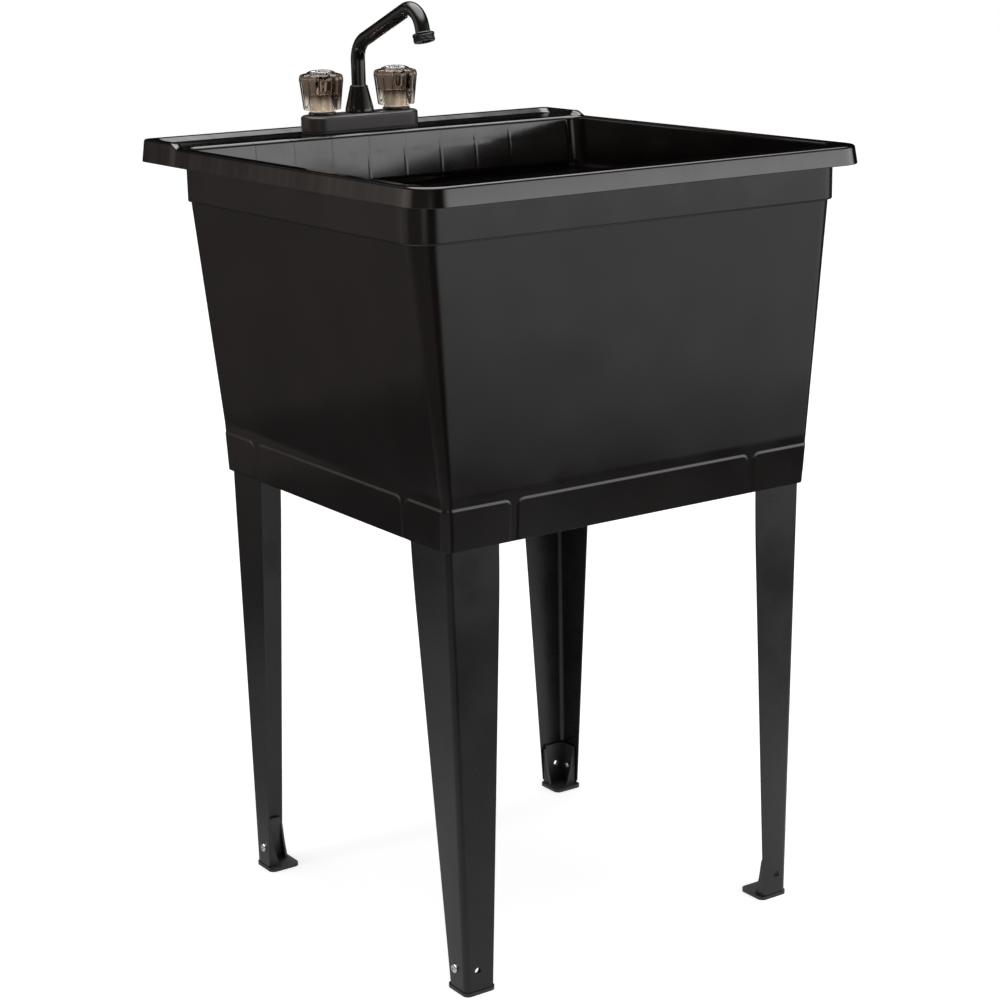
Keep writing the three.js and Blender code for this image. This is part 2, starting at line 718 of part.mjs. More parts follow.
/** A moulded foot: a base plate, two walls inside the leg's flanges, and a gusset on each wall's end. */
function foot(sx, sy) {
  const a = legAt(legFootZ, sy);
  const b = legAt(footHeight, sy);
  const plate = roundedRectangle(
    footReach + footLedge,
    footReach + footLedge,
    footCorner,
    a.x + footLedge - (footReach + footLedge) / 2,
    a.y + footLedge - (footReach + footLedge) / 2,
  );
  const innerX = Math.min(a.x, b.x) - legThickness - fit;
  const innerY = Math.min(a.y, b.y) - legThickness - fit;
  const back = legBend - legThickness;
  const run = legFrontFoot - legThickness - footWallInset;
  const depth = legSideFoot - legThickness - footWallInset;
  const walls = new THREE.Shape([
    new THREE.Vector2(innerX - back, innerY),
    new THREE.Vector2(innerX - run, innerY),
    new THREE.Vector2(innerX - run, innerY - footWall),
    new THREE.Vector2(innerX - footWall, innerY - footWall),
    new THREE.Vector2(innerX - footWall, innerY - depth),
    new THREE.Vector2(innerX, innerY - depth),
    new THREE.Vector2(innerX, innerY - back),
  ]);
  const gussetShape = new THREE.Shape([
    new THREE.Vector2(0, footPlate - cutOver),
    new THREE.Vector2(gussetReach, footPlate - cutOver),
    new THREE.Vector2(footWall, gussetHeight),
    new THREE.Vector2(0, gussetHeight),
  ]);
  const gusset = slab(gussetShape, 0, gussetThickness).rotateX(Math.PI / 2);
  const frontGusset = gusset.clone().rotateZ(-Math.PI / 2).translate(innerX - run, innerY, 0);
  const sideGusset = gusset.clone().rotateZ(Math.PI).translate(innerX, innerY - depth, 0);
  const boltHole = rod(boltRadius + fit, -footReach, footReach, smallFaces)
    .rotateY(Math.PI / 2)
    .translate(innerX, legAt(legHoleHeight, sy).y - boltSetback, legHoleHeight);
  const spareHole = rod(legHoleRadius, -footReach, footReach, smallFaces)
    .rotateX(Math.PI / 2)
    .translate(legAt(legHoleHeight, sy).x - spareHoleSetback, innerY, legHoleHeight);
  const body = cut(
    join(slab(plate, 0, footPlate), slab(walls, footPlate - cutOver, footHeight), frontGusset, sideGusset),
    boltHole,
    spareHole,
  );
  return mirrored(geometryOf(body).toNonIndexed(), sx, sy);
}

/** The bolt that goes through a leg's side flange into its foot. Drawn along +X, its head outside. */
function footBolt(sx, sy) {
  const a = legAt(legHoleHeight, sy);
  const innerX = Math.min(legAt(legFootZ, sy).x, legAt(footHeight, sy).x) - legThickness - fit;
  const tip = innerX - footWall - fit - nutHeight - boltTip;
  const head = a.x + fit;
  const made = turned([
    [0, tip],
    [boltRadius - 0.6, tip],
    [boltRadius - 0.1, tip + 1],
    [boltRadius - 0.1, head],
    [boltHeadRadius, head],
    [boltHeadRadius, head + boltHead * 0.45],
    [boltHeadRadius * 0.7, head + boltHead * 0.88],
    [0, head + boltHead],
  ], smallFaces).rotateY(Math.PI / 2);
  return mirrored(made.translate(0, a.y - boltSetback, legHoleHeight).toNonIndexed(), sx, sy);
}

/** The hexagon nut inside the foot. */
function footNut(sx, sy) {
  const a = legAt(legHoleHeight, sy);
  const innerX = Math.min(legAt(legFootZ, sy).x, legAt(footHeight, sy).x) - legThickness - fit;
  const seat = innerX - footWall - fit;
  const hexagon = rod(nutRadius, seat - nutHeight, seat, 6);
  const bore = rod(clearOf(boltRadius, smallFaces), seat - nutHeight - cutOver, seat + cutOver, smallFaces);
  const made = geometryOf(cut(hexagon, bore)).rotateY(Math.PI / 2);
  return mirrored(made.translate(0, a.y - boltSetback, legHoleHeight).toNonIndexed(), sx, sy);
}

// ---------------------------------------------------------------- drain
const drainTop = sumpZ + fit + drainFlange;
const drainFoot = sumpZ + fit - drainLength;
const crossZ = drainTop - crossDepth;
const gasketLow = sumpUnder - fit - drainGasket;
const drainWasherLow = gasketLow - fit - drainWasher;
const locknutLow = drainWasherLow - fit - locknutHeight;
const tailTop = drainFoot - fit - tailSeal - fit;

/** The drain's pieces, from the flange in the sump down to the slip nut on the tailpiece. */
function drain(group) {
  const put = (name, shape, material) => piece(name, shape, material, group);
  const disc = (inner, outer, low, height) => washer(inner, outer, low, low + height, wideFaces);
  const around = (count, shape) =>
    Array.from({ length: count }, (_, i) => shape.clone().rotateZ((i * 2 * Math.PI) / count));
  const reach = (drainBore + drainOuter) / 2;
  const crossbar = block(-reach, -crossHalf, crossZ, reach, crossHalf, crossZ + crossHeight);
  const body = ring([
    [drainBore, drainFoot],
    [drainOuter, drainFoot],
    [drainOuter, sumpZ + fit],
    [drainFlangeRadius, sumpZ + fit],
    [drainFlangeRadius - 1, drainTop],
    [drainBore + plugTaper + 1, drainTop],
    [drainBore, drainTop - plugBody - 2],
  ], wideFaces);
  put("drain_flange", join(body, crossbar, crossbar.clone().rotateZ(Math.PI / 2)), steel);
  put("drain_gasket", disc(drainOuter + fit, drainGasketRadius, gasketLow, drainGasket), rubber);
  const slip = disc(drainOuter + fit, drainGasketRadius, drainWasherLow, drainWasher);
  put("drain_friction_washer", slip, whitePlastic);

  const locknutTop = locknutLow + locknutHeight;
  const lugTop = locknutLow + locknutHeight * 0.7;
  const lug = block(
    locknutRadius - locknutLugReach,
    -locknutLugHalf,
    locknutLow,
    locknutRadius + locknutLugReach,
    locknutLugHalf,
    lugTop,
  );
  const locknut = cut(
    join(rod(locknutRadius, locknutLow, locknutTop, wideFaces), ...around(locknutLugs, lug)),
    rod(drainOuter + fit, locknutLow - cutOver, locknutTop + cutOver, wideFaces),
  );
  put("drain_locknut", locknut, innerPlastic);

  const tail = ring([
    [tailBore, tailTop - tailLength],
    [tailOuter, tailTop - tailLength],
    [tailOuter, tailTop - tailFlange],
    [tailFlangeRadius, tailTop - tailFlange],
    [tailFlangeRadius, tailTop],
    [tailBore, tailTop],
  ], wideFaces);
  put("tailpiece", tail, whitePlastic);
  put("tailpiece_washer", disc(tailBore, tailFlangeRadius, tailTop + fit, tailSeal), rubber);

  const nutLow = tailTop - tailFlange - fit - slipNutFloor;
  const nutTop = nutLow + slipNutHeight;
  const nutOuter = drainOuter + fit + slipNutWall;
  const nut = ring([
    [tailOuter + fit, nutLow],
    [nutOuter - 2, nutLow],
    [nutOuter, nutLow + 2],
    [nutOuter, nutTop],
    [drainOuter + fit, nutTop],
    [drainOuter + fit, nutLow + slipNutFloor],
    [tailOuter + fit, nutLow + slipNutFloor],
  ], wideFaces);
  const half = slipNutRibReach;
  const rib = block(nutOuter - 1, -half, nutLow + slipNutFloor, nutOuter + slipNutRibReach, half, nutTop - 1);
  put("slip_nut", join(nut, ...around(slipNutRibs, rib)), whitePlastic);
}

/** The rubber plug, with a moulded loop to pull it by. */
function plug() {
  const seat = drainTop + fit;
  const body = turned([
    [0, seat - plugBody],
    [drainBore - 1, seat - plugBody],
    [drainBore + plugTaper - 0.2, seat],
    [plugTopRadius, seat],
    [plugTopRadius, seat + plugTop * 0.6],
    [plugTopRadius - 2, seat + plugTop],
    [0, seat + plugTop],
  ], wideFaces);
  const loop = new THREE.TorusGeometry(loopRadius, loopThickness, 6, 14).rotateX(Math.PI / 2);
  return join(body, loop.translate(0, 0, seat + plugTop + loopRise));
}

// ---------------------------------------------------------------- tap
const tapBaseZ = deckZ + fit + tapGasket + fit;
const tapTopZ = tapBaseZ + tapHeight;
const waterwayTop = tapTopZ - tapShell - fit;
const bonnetTop = tapTopZ + fit + bonnetHeight;
const knobFoot = bonnetTop + fit;

/** The tap's outline seen from above, moved inwards. */
const tapOutline = (by) => roundedRectangle(tapLength - by * 2, tapDepth - by * 2, tapRadius - by);

/** The moulded cover of the tap: a long block with round ends, open below. */
function tapCover() {
  const soft = { bevelEnabled: true, bevelThickness: tapEdge, bevelSize: tapEdge, bevelSegments: 2 };
  const outer = slab(tapOutline(tapEdge), tapBaseZ + tapEdge, tapTopZ - tapEdge, soft);
  const squareFoot = slab(tapOutline(0), tapBaseZ, tapBaseZ + tapEdge + cutOver);
  const hollow = slab(tapOutline(tapShell), tapBaseZ - cutOver, tapTopZ - tapShell);
  const bonnetHoles = tapXs.map((x) => rod(bonnetNeck + fit, tapBaseZ, tapTopZ + cutOver).translate(x, 0, 0));
  const spoutHole = rod(spoutHoleRadius, tapBaseZ, tapTopZ + cutOver);
  return cut(join(outer, squareFoot), hollow, ...bonnetHoles, spoutHole);
}

/** The waterway under the cover: two barrels with threaded shanks, a channel and the spout's socket. */
function waterway() {
  const low = tapBaseZ;
  const top = waterwayTop;
  const foot = deckZ - shankLength;
  const floor = low + waterwayFloor;
  const inBore = clearOf(cartridgeRadius, smallFaces);
  const barrels = tapXs.flatMap((x) => [
    rod(barrelRadius, low, top).translate(x, 0, 0),
    rod(shankRadius, foot, low + cutOver, smallFaces).translate(x, 0, 0),
  ]);
  const bores = tapXs.flatMap((x) => [
    rod(inBore, top - cartridgeDepth, top + cutOver, smallFaces).translate(x, 0, 0),
    rod(shankBore, foot - cutOver, floor, smallFaces).translate(x, 0, 0),
  ]);
  const half = waterwayWidth / 2;
  const channel = block(tapXs[0], -half, low, tapXs[1], half, low + waterwayHeight);
  const roof = low + waterwayHeight - tapShell;
  const passage = block(tapXs[0], -passageHalf, floor, tapXs[1], passageHalf, roof);
  const socket = rod(ringRadius + spoutSocketWall, low, top);
  const spoutBore = rod(clearOf(ringRadius, roundFaces), top - socketInsert - cutOver, top + cutOver);
  return cut(join(...barrels, channel, socket), ...bores, passage, spoutBore);
}

/** The rubber sheet between the cover and the deck. */
function gasket() {
  const sheet = slab(tapOutline(0.75), deckZ + fit, deckZ + fit + tapGasket);
  const bore = rod(clearOf(shankRadius, smallFaces), deckZ - cutOver, tapBaseZ + cutOver, smallFaces);
  return cut(sheet, ...tapXs.map((x) => bore.clone().translate(x, 0, 0)));
}

/** Outer radius of the knob's lobes at an angle. */
const lobed = (radius, groove, a) => radius - groove * (1 - Math.abs(Math.cos((a * knobLobes) / 2)));

/** The fluted clear knob: lobes that widen upwards, a shoulder, the cap's recess and the core's socket. */
function knobShell() {
  const steps = knobLobes * 4;
  const circle = (radius, groove, z) =>
    Array.from({ length: steps }, (_, i) => {
      const a = (i / steps) * 2 * Math.PI;
      const r = lobed(radius, groove, a);
      return new THREE.Vector3(r * Math.cos(a), r * Math.sin(a), z);
    });
  const foot = knobFoot + knobLift;
  const top = foot + knobHeight;
  const socketTop = knobFoot + coreHeight + fit;
  const screwSeat = socketTop + knobWeb;
  return loft(
    [
      circle(coreRadius + fit, 0, foot),
      circle(knobBottomRadius - 0.8, knobGroove, foot),
      circle(knobBottomRadius, knobGroove, foot + 0.8),
      circle(knobTopRadius, knobGroove, top - knobShoulder),
      circle(knobTopRadius - knobShoulder * 0.9, knobGroove * 0.5, top),
      circle(capRadius + fit, 0, top - 0.6),
      circle(capRadius + fit, 0, top - capSeat),
      circle(knobScrewHead + 0.6, 0, top - capSeat),
      circle(knobScrewHead + 0.6, 0, screwSeat),
      circle(knobScrewRadius + fit, 0, screwSeat),
      circle(knobScrewRadius + fit, 0, socketTop),
      circle(coreTopRadius + fit, 0, socketTop),
    ],
    true,
  );
}

/** The frosted core that grips the splined stem. */
function knobCore() {
  const low = knobFoot;
  return ring([
    [stemRadius + fit, low],
    [coreRadius, low],
    [coreTopRadius, low + coreHeight],
    [knobScrewRadius + fit, low + coreHeight],
    [knobScrewRadius + fit, low + coreHeight - coreRoof],
    [stemRadius + fit, low + coreHeight - coreRoof],
  ]);
}

/** The stem and its cartridge, which turn with the knob. */
function stem() {
  const low = waterwayTop - cartridgeDepth + fit;
  const top = knobFoot + coreHeight - coreRoof - fit;
  const body = turned([
    [0, low],
    [cartridgeRadius, low],
    [cartridgeRadius, waterwayTop],
    [stemRadius, waterwayTop],
    [stemRadius, top - 1],
    [stemRadius - 0.8, top],
    [0, top],
  ], smallFaces);
  return cut(body, rod(knobScrewRadius + fit, top - knobScrewLength - 2, top + cutOver, smallFaces));
}

/** The ring on the cover under a knob, with a neck that goes down through it. */
function bonnet() {
  const low = tapTopZ + fit;
  return ring([
    [stemRadius + fit, waterwayTop + fit],
    [bonnetNeck, waterwayTop + fit],
    [bonnetNeck, low],
    [bonnetRadius, low],
    [bonnetRadius, bonnetTop - 0.8],
    [bonnetRadius - 0.8, bonnetTop],
    [stemRadius + fit, bonnetTop],
  ]);
}

/** The screw that holds a knob and its core on the stem. */
function knobScrew() {
  const headLow = knobFoot + coreHeight + fit + knobWeb + fit;
  const tip = headLow - fit - knobWeb - knobScrewLength;
  return turned([
    [0, tip],
    [knobScrewRadius, tip],
    [knobScrewRadius, headLow],
    [knobScrewHead, headLow],
    [knobScrewHead, headLow + knobScrewHeadHeight * 0.6],
    [knobScrewHead * 0.6, headLow + knobScrewHeadHeight],
    [0, headLow + knobScrewHeadHeight],
  ], smallFaces);
}

/** The clear domed button on top of a knob. */
function knobCap() {
  const rim = knobFoot + knobLift + knobHeight;
  const seat = rim - capSeat + fit;
  const steps = 4;
  const dome = Array.from({ length: steps }, (_, i) => {
    const a = (i / steps) * (Math.PI / 2);
    return [capRadius * Math.cos(a), rim + capDome * Math.sin(a)];
  });
  return turned([[0, seat], [capRadius, seat], ...dome, [0, rim + capDome]]);
}

// ---------------------------------------------------------------- spout
const rad = THREE.MathUtils.degToRad;

/** The spout's centre line as [forward, height] points: rise, bend, long straight, bend down, outlet. */
function spoutLine() {
  const line = [];
  let [d, z] = [0, waterwayTop - socketInsert];
  let heading = 90;
  const go = (length) => {
    d += length * Math.cos(rad(heading));
    z += length * Math.sin(rad(heading));
    line.push([d, z]);
  };
  const bend = (radius, to, steps) => {
    const turn = (to - heading) / steps;
    const chord = 2 * radius * Math.sin(Math.abs(rad(turn)) / 2);
    for (let i = 0; i < steps; i++) {
      heading += turn / 2;
      go(chord);
      heading += turn / 2;
    }
  };
  line.push([d, z]);
  go(tapTopZ + tubeRise - z);
  bend(tubeLowerBend, tubeSlope, 5);
  go(tubeStraight);
  bend(tubeUpperBend, -tubeDive, 6);
  go(tubeOutlet);
  return { line, end: [d, z], heading };
}

/** A pipe along the spout's centre line: rings square to the line, outer skin and bore. */
function spoutTube() {
  const { line } = spoutLine();
  const frames = line.map(([d, z], i) => {
    const a = line[Math.max(i - 1, 0)];
    const b = line[Math.min(i + 1, line.length - 1)];
    return { d, z, turn: Math.atan2(b[1] - a[1], b[0] - a[0]) };
  });
  const skin = (radius) =>
    frames.map(({ d, z, turn }) =>
      Array.from({ length: tubeSides }, (_, i) => {
        const a = (i / tubeSides) * 2 * Math.PI;
        const across = radius * Math.sin(a);
        const forward = d - across * Math.sin(turn);
        return new THREE.Vector3(radius * Math.cos(a), -forward, z + across * Math.cos(turn));
      }),
    );
  const pipe = loft([...skin(tubeRadius), ...skin(tubeRadius - tubeWall).reverse()], true);
  const low = frames[0].z + ringLift;
  return join(pipe, washer(tubeRadius - tubeWall / 2, ringRadius, low, low + ringHeight));
}

/** The cone nut that holds the spout down. */
function spoutNut() {
  const low = tapTopZ + fit;
  const bore = tubeRadius + fit;
  return ring([
    [bore, low],
    [coneBottomRadius - 0.6, low],
    [coneBottomRadius, low + 1],
    [coneTopRadius, low + coneHeight - 0.8],
    [coneTopRadius - 0.8, low + coneHeight],
    [bore, low + coneHeight],
  ]);
}

/** The ring of rubber that seals the spout in its socket, between the retainer and the cone. */
function spoutSeal() {
  const low = waterwayTop - socketInsert + ringLift + ringHeight + fit;
  return washer(tubeRadius + fit, ringRadius, low, low + ringHeight);
}

/** Places a turned form on the outlet: its axis along the outlet, its origin at the outlet's end. */
function onOutlet(geometry) {
  const { end, heading } = spoutLine();
  return geometry.rotateX(rad(90 - heading)).translate(0, -end[0], end[1]);
}

/** The hose end: a collar with a threaded length below it, and a bore that takes the outlet. */
function nozzle() {
  const low = -nozzleGrip;
  const high = nozzleLength - nozzleGrip;
  const bore = clearOf(tubeRadius, roundFaces);
  return ring([
    [bore, low],
    [nozzleRadius - 0.8, low],
    [nozzleRadius, low + 0.8],
    [nozzleRadius, low + nozzleCollar],
    [nozzleRadius - threadDepth, low + nozzleCollar],
    [nozzleRadius - threadDepth, high - 0.8],
    [nozzleRadius - threadDepth - 0.8, high],
    [tubeRadius - 0.5, high],
    [tubeRadius - 0.5, fit],
    [bore, fit],
  ]);
}

/** The perforated disc that straightens the flow, inside the nozzle. */
function strainer() {
  const low = fit * 2;
  const high = low + strainerThickness;
  const hole = rod(strainerHole, low - cutOver, high + cutOver, 6);
  const holes = Array.from({ length: strainerHoles }, (_, i) => {
    const a = (i / strainerHoles) * 2 * Math.PI;
    return hole.clone().translate(strainerCircle * Math.cos(a), strainerCircle * Math.sin(a), 0);
  });
  const disc = rod(tubeRadius - 0.5 - fit, low, high, smallFaces);
  return geometryOf(cut(disc, hole, ...holes));
}

/** The winged plastic nut that holds a shank under the deck. */
function mountNut(top) {
  const low = top - mountNutHeight;
  const reach = mountNutRadius + wingReach;
  const wing = block(-reach, -wingHalf, low, reach, wingHalf, top - wingNotch);
  const wings = [-1, 1].map((way) => wing.clone().rotateZ((way * Math.PI) / 4));
  return cut(
    join(rod(mountNutRadius, low, top), ...wings),
    rod(clearOf(shankRadius, smallFaces), low - cutOver, top + cutOver, smallFaces),
  );
}

// ---------------------------------------------------------------- assembly
piece("tub", tub(), tubPlastic);

corners.forEach(([where, sx, sy]) => {
  piece("leg_" + where, leg(sx, sy), legPaint);
  piece("foot_" + where, foot(sx, sy), footPlastic);
  piece("foot_bolt_" + where, footBolt(sx, sy), zinc);
  piece("foot_nut_" + where, footNut(sx, sy), zinc);
});

const drainGroup = new THREE.Group();
drainGroup.position.set(0, drainY, 0);
sink.add(drainGroup);
drain(drainGroup);
piece("plug", plug(), rubber, drainGroup);

const tap = new THREE.Group();
tap.position.set(tapOffset, tapY, 0);
sink.add(tap);
piece("tap_gasket", gasket(), rubber, tap);
piece("tap_waterway", waterway(), innerPlastic, tap);
piece("tap_cover", tapCover(), tapPlastic, tap);

const washerTop = rimUnder - fit;
const washerLow = washerTop - mountWasher;
[["left", tapXs[0]], ["right", tapXs[1]]].forEach(([side, x]) => {
  const place = new THREE.Group();
  place.position.set(x, 0, 0);
  tap.add(place);
  const put = (name, shape, material) => piece(name + "_" + side, shape, material, place);
  put("bonnet_ring", bonnet(), tapPlastic);
  put("stem", stem(), whitePlastic);
  put("knob_core", knobCore(), frost);
  put("knob", knobShell(), smoke);
  put("knob_screw", knobScrew(), zinc);
  put("knob_cap", knobCap(), clear);
  const bore = clearOf(shankRadius, smallFaces);
  put("mount_washer", washer(bore, mountWasherRadius, washerLow, washerTop, smallFaces), rubber);
  put("mount_nut", mountNut(washerLow - fit), innerPlastic);
});

piece("spout_nut", spoutNut(), tapPlastic, tap);
piece("spout_seal", spoutSeal(), rubber, tap);
piece("spout_tube", spoutTube(), tapPlastic, tap);
piece("spout_nozzle", onOutlet(nozzle()), tapPlastic, tap);
piece("spout_strainer", onOutlet(strainer()), steel, tap);

export default sink;
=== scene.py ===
"""Looks of a freestanding utility laundry sink: smooth surfaces, finishes, light and camera.

Sizes in the classes below are in millimetres, in the sink's own frame: +X right, +Y to the wall and +Z up,
with the origin on the floor under the middle of the rim. Meshes are turned into metres when they are made.
"""

import logging
import math
from collections.abc import Callable, Sequence
from dataclasses import dataclass
from enum import Enum

import bmesh
import bpy
import numpy as np
from mathutils import Matrix

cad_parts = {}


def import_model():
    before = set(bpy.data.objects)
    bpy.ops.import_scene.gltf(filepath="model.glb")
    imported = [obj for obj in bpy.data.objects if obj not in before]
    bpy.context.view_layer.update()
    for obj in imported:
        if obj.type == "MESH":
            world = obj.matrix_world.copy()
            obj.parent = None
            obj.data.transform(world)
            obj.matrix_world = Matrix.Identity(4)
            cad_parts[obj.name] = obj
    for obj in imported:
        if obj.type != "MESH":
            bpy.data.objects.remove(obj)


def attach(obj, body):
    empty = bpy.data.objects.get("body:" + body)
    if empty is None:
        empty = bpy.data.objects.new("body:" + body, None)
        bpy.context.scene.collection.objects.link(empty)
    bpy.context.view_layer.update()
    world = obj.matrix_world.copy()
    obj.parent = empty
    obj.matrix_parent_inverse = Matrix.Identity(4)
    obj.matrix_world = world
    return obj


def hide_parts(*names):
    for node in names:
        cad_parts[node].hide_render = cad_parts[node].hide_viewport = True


LOG = logging.getLogger("sink")
Array = np.ndarray
Relief = Callable[[Array, Array], Array]  # what to add to a turned form's radius, by angle and height
MM = 0.001
SEAM = 1e-7  # points closer than this, in metres, are one
SHARP = 35.0  # edges that turn by more than this many degrees stay sharp
CORNERS = (("front_left", -1, -1), ("front_right", 1, -1), ("rear_left", -1, 1), ("rear_right", 1, 1))


# ------------------------------------------------------------------------------------------ shader arithmetic
class Value:
    """A number that changes over a surface: a shader socket that takes part in plain arithmetic."""

    def __init__(self, shader: "Nodes", socket: bpy.types.NodeSocket) -> None:
        """Wraps a socket of a tree."""
        self.shader = shader
        self.socket = socket

    def _with(self, operation: str, *others: "Value | float") -> "Value":
        """Adds a Math node on this value and others, and returns what it gives."""
        made = self.shader.node("ShaderNodeMath", {"operation": operation}, dict(enumerate((self, *others))))
        return Value(self.shader, made.outputs[0])

    def __add__(self, other: "Value | float") -> "Value":
        """Sum."""
        return self._with("ADD", other)

    def __sub__(self, other: "Value | float") -> "Value":
        """Difference."""
        return self._with("SUBTRACT", other)

    def __rsub__(self, other: float) -> "Value":
        """A number less this value."""
        return self._with("MULTIPLY", -1.0)._with("ADD", other)

    def __mul__(self, other: "Value | float") -> "Value":
        """Product."""
        return self._with("MULTIPLY", other)

    __radd__ = __add__
    __rmul__ = __mul__

    def __truediv__(self, other: float) -> "Value":
        """This value over a number."""
        return self._with("DIVIDE", other)

    def __abs__(self) -> "Value":
        """Size without sign."""
        return self._with("ABSOLUTE")

    def fraction(self) -> "Value":
        """What is left over whole numbers."""
        return self._with("FRACT")

    def ramp(self, low: float, high: float) -> "Value":
        """A smooth step from 0 at low to 1 at high. High may be the smaller of the two."""
        settings = {"interpolation_type": "SMOOTHSTEP"}
        inputs = {"Value": self, "From Min": low, "From Max": high}
        made = self.shader.node("ShaderNodeMapRange", settings, inputs)
        return Value(self.shader, made.outputs["Result"])


class Nodes:
    """A node tree under construction."""

    def __init__(self, tree: bpy.types.NodeTree) -> None:
        """Wraps a tree."""
        self.tree = tree

    def node(self, kind: str, settings: dict, inputs: dict) -> bpy.types.Node:
        """Adds a node.

        Args:
            kind: Blender's name for the node type.
            settings: attributes of the node, set first.
            inputs: values or links by the socket's name or number.

        Returns:
            The new node.
        """
        made = self.tree.nodes.new(kind)
        for key, value in settings.items():
            setattr(made, key, value)
        for key, value in inputs.items():
            self.link(value, made.inputs[key])
        return made

    def blend(self, factor: Value, low: object, high: object) -> bpy.types.NodeSocket:
        """A colour between two, by a value from 0 to 1. Each end is a socket, or red, green and blue."""
        first, last = ((*end, 1.0) if isinstance(end, tuple) else end for end in (low, high))
        return self.node("ShaderNodeMix", {"data_type": "RGBA"}, {0: factor, 6: first, 7: last}).outputs[2]

    def link(self, value: object, socket: bpy.types.NodeSocket) -> None:
        """Gives a socket its value or links it."""
        if isinstance(value, Value):
            value = value.socket
        if isinstance(value, bpy.types.NodeSocket):
            self.tree.links.new(value, socket)
        else:
            socket.default_value = value

    def axes(self, vector: bpy.types.NodeSocket) -> list[Value]:
        """A vector's three parts."""
        split = self.node("ShaderNodeSeparateXYZ", {}, {"Vector": vector})
        return [Value(self, split.outputs[axis]) for axis in "XYZ"]


class Shader(Nodes):
    """A material under construction, on Object coordinates in metres."""

    def __init__(self, name: str) -> None:
        """Starts a material with only its surface shader and output."""
        self.material = bpy.data.materials.new(name)
        self.material.use_nodes = True
        super().__init__(self.material.node_tree)
        self.surface = self.tree.nodes["Principled BSDF"]
        self.place = self.node("ShaderNodeTexCoord", {}, {}).outputs["Object"]
        self.x, self.y, self.z = self.axes(self.place)

    def noise(self, scale: float, detail: float = 2.0, stretch: tuple = (1.0, 1.0, 1.0)) -> Value:
        """Cloudy noise from 0 to 1 with about `scale` lumps to the metre, drawn out where stretch is small."""
        vector = self.place
        if stretch != (1.0, 1.0, 1.0):
            vector = self.node("ShaderNodeMapping", {}, {"Vector": self.place, "Scale": stretch}).outputs[0]
        inputs = {"Vector": vector, "Scale": scale, "Detail": detail}
        return Value(self, self.node("ShaderNodeTexNoise", {}, inputs).outputs["Fac"])

    def bump(self, height: Value, depth: float) -> None:
        """Adds relief: height from 0 to 1 stands for a depth in metres. Later relief lies on earlier relief."""
        normal = self.surface.inputs["Normal"]
        inputs = {"Height": height, "Distance": depth, "Strength": 1.0}
        if normal.is_linked:
            inputs["Normal"] = normal.links[0].from_socket
        self.link(self.node("ShaderNodeBump", {}, inputs).outputs["Normal"], normal)

    def set(self, **sockets: object) -> None:
        """Sets sockets of the surface shader by name, with _ for a space."""
        for name, value in sockets.items():
            self.link(value, self.surface.inputs[name.replace("_", " ")])


# --------------------------------------------------------------------------------------------------- finishes
@dataclass(frozen=True)
class Moulded:
    """Moulded plastic: a colour that drifts a little, gloss that clouds, slow waves and a fine skin texture."""

    name: str
    slot: str
    dark: tuple
    light: tuple
    gloss: float
    cloud: float = 0.08  # how much rougher the dull clouds are
    wave: float = 0.0  # depth of the slow waves, in metres
    grain: float = 2e-6  # depth of the skin texture, in metres
    drift_scale: float = 14.0
    cloud_scale: float = 22.0
    wave_scale: float = 7.0
    grain_scale: float = 2600.0

    def shader(self) -> Shader:
        """Builds the finish's nodes."""
        s = Shader(self.name)
        s.set(Base_Color=s.blend(s.noise(self.drift_scale, 4.0).ramp(0.3, 0.7), self.dark, self.light))
        s.set(Roughness=s.noise(self.cloud_scale, 5.0).ramp(0.35, 0.75) * self.cloud + self.gloss)
        if self.wave:
            s.bump(s.noise(self.wave_scale, 1.0), self.wave)
        s.bump(s.noise(self.grain_scale, 2.0), self.grain)
        return s


@dataclass(frozen=True)
class TubPlastic(Moulded):
    """The tub's plastic: as Moulded, with a mottled rim and upright sink lines across the basin's rear wall."""

    line_start: float = -0.205
    line_pitch: float = 0.05
    line_half: float = 0.003
    line_depth: float = 2.5e-4
    wall: tuple = (0.2, 0.22)  # the rear wall lies between these Y, with the lines fading over `fade`
    fade: float = 0.004
    lines_low: tuple = (0.79, 0.83)  # where the lines begin, upwards
    lines_end: tuple = (0.2, 0.19)  # where they end, sideways
    rim_low: tuple = (0.838, 0.846)  # where the mottling begins, upwards
    mottle_scale: float = 22.0
    mottle: float = 6e-4

    def shader(self) -> Shader:
        """Builds the finish's nodes."""
        s = super().shader()
        off = abs(((s.x - self.line_start) / self.line_pitch).fraction() - 0.5) * self.line_pitch
        near, far = self.wall
        on_wall = s.y.ramp(near, near + self.fade) * s.y.ramp(far, far - self.fade)
        on_wall = on_wall * s.z.ramp(*self.lines_low) * abs(s.x).ramp(*self.lines_end)
        s.bump(off.ramp(0.0, self.line_half) * on_wall + (1.0 - on_wall), self.line_depth)
        mottling = s.noise(self.mottle_scale, 2.0, (1.0, 1.0, 0.2)) - 0.5
        s.bump(mottling * s.z.ramp(*self.rim_low) + 0.5, self.mottle)
        return s


@dataclass(frozen=True)
class Enamel:
    """Baked enamel on sheet steel: a satin orange-peel skin, over a sheet that isn't quite flat."""

    name: str
    slot: str
    dark: tuple
    light: tuple
    gloss: float
    peel: float = 1.2e-5  # depth of the orange peel, in metres
    dents: float = 4e-4  # depth of the sheet's slow dents, in metres

    def shader(self) -> Shader:
        """Builds the finish's nodes."""
        s = Shader(self.name)
        s.set(Base_Color=s.blend(s.noise(30.0, 4.0).ramp(0.35, 0.7), self.dark, self.light))
        s.set(Roughness=s.noise(18.0, 5.0).ramp(0.3, 0.75) * 0.1 + self.gloss)
        s.bump(s.noise(420.0, 2.0), self.peel)
        s.bump(s.noise(9.0, 1.0, (1.0, 1.0, 0.35)), self.dents)
        return s


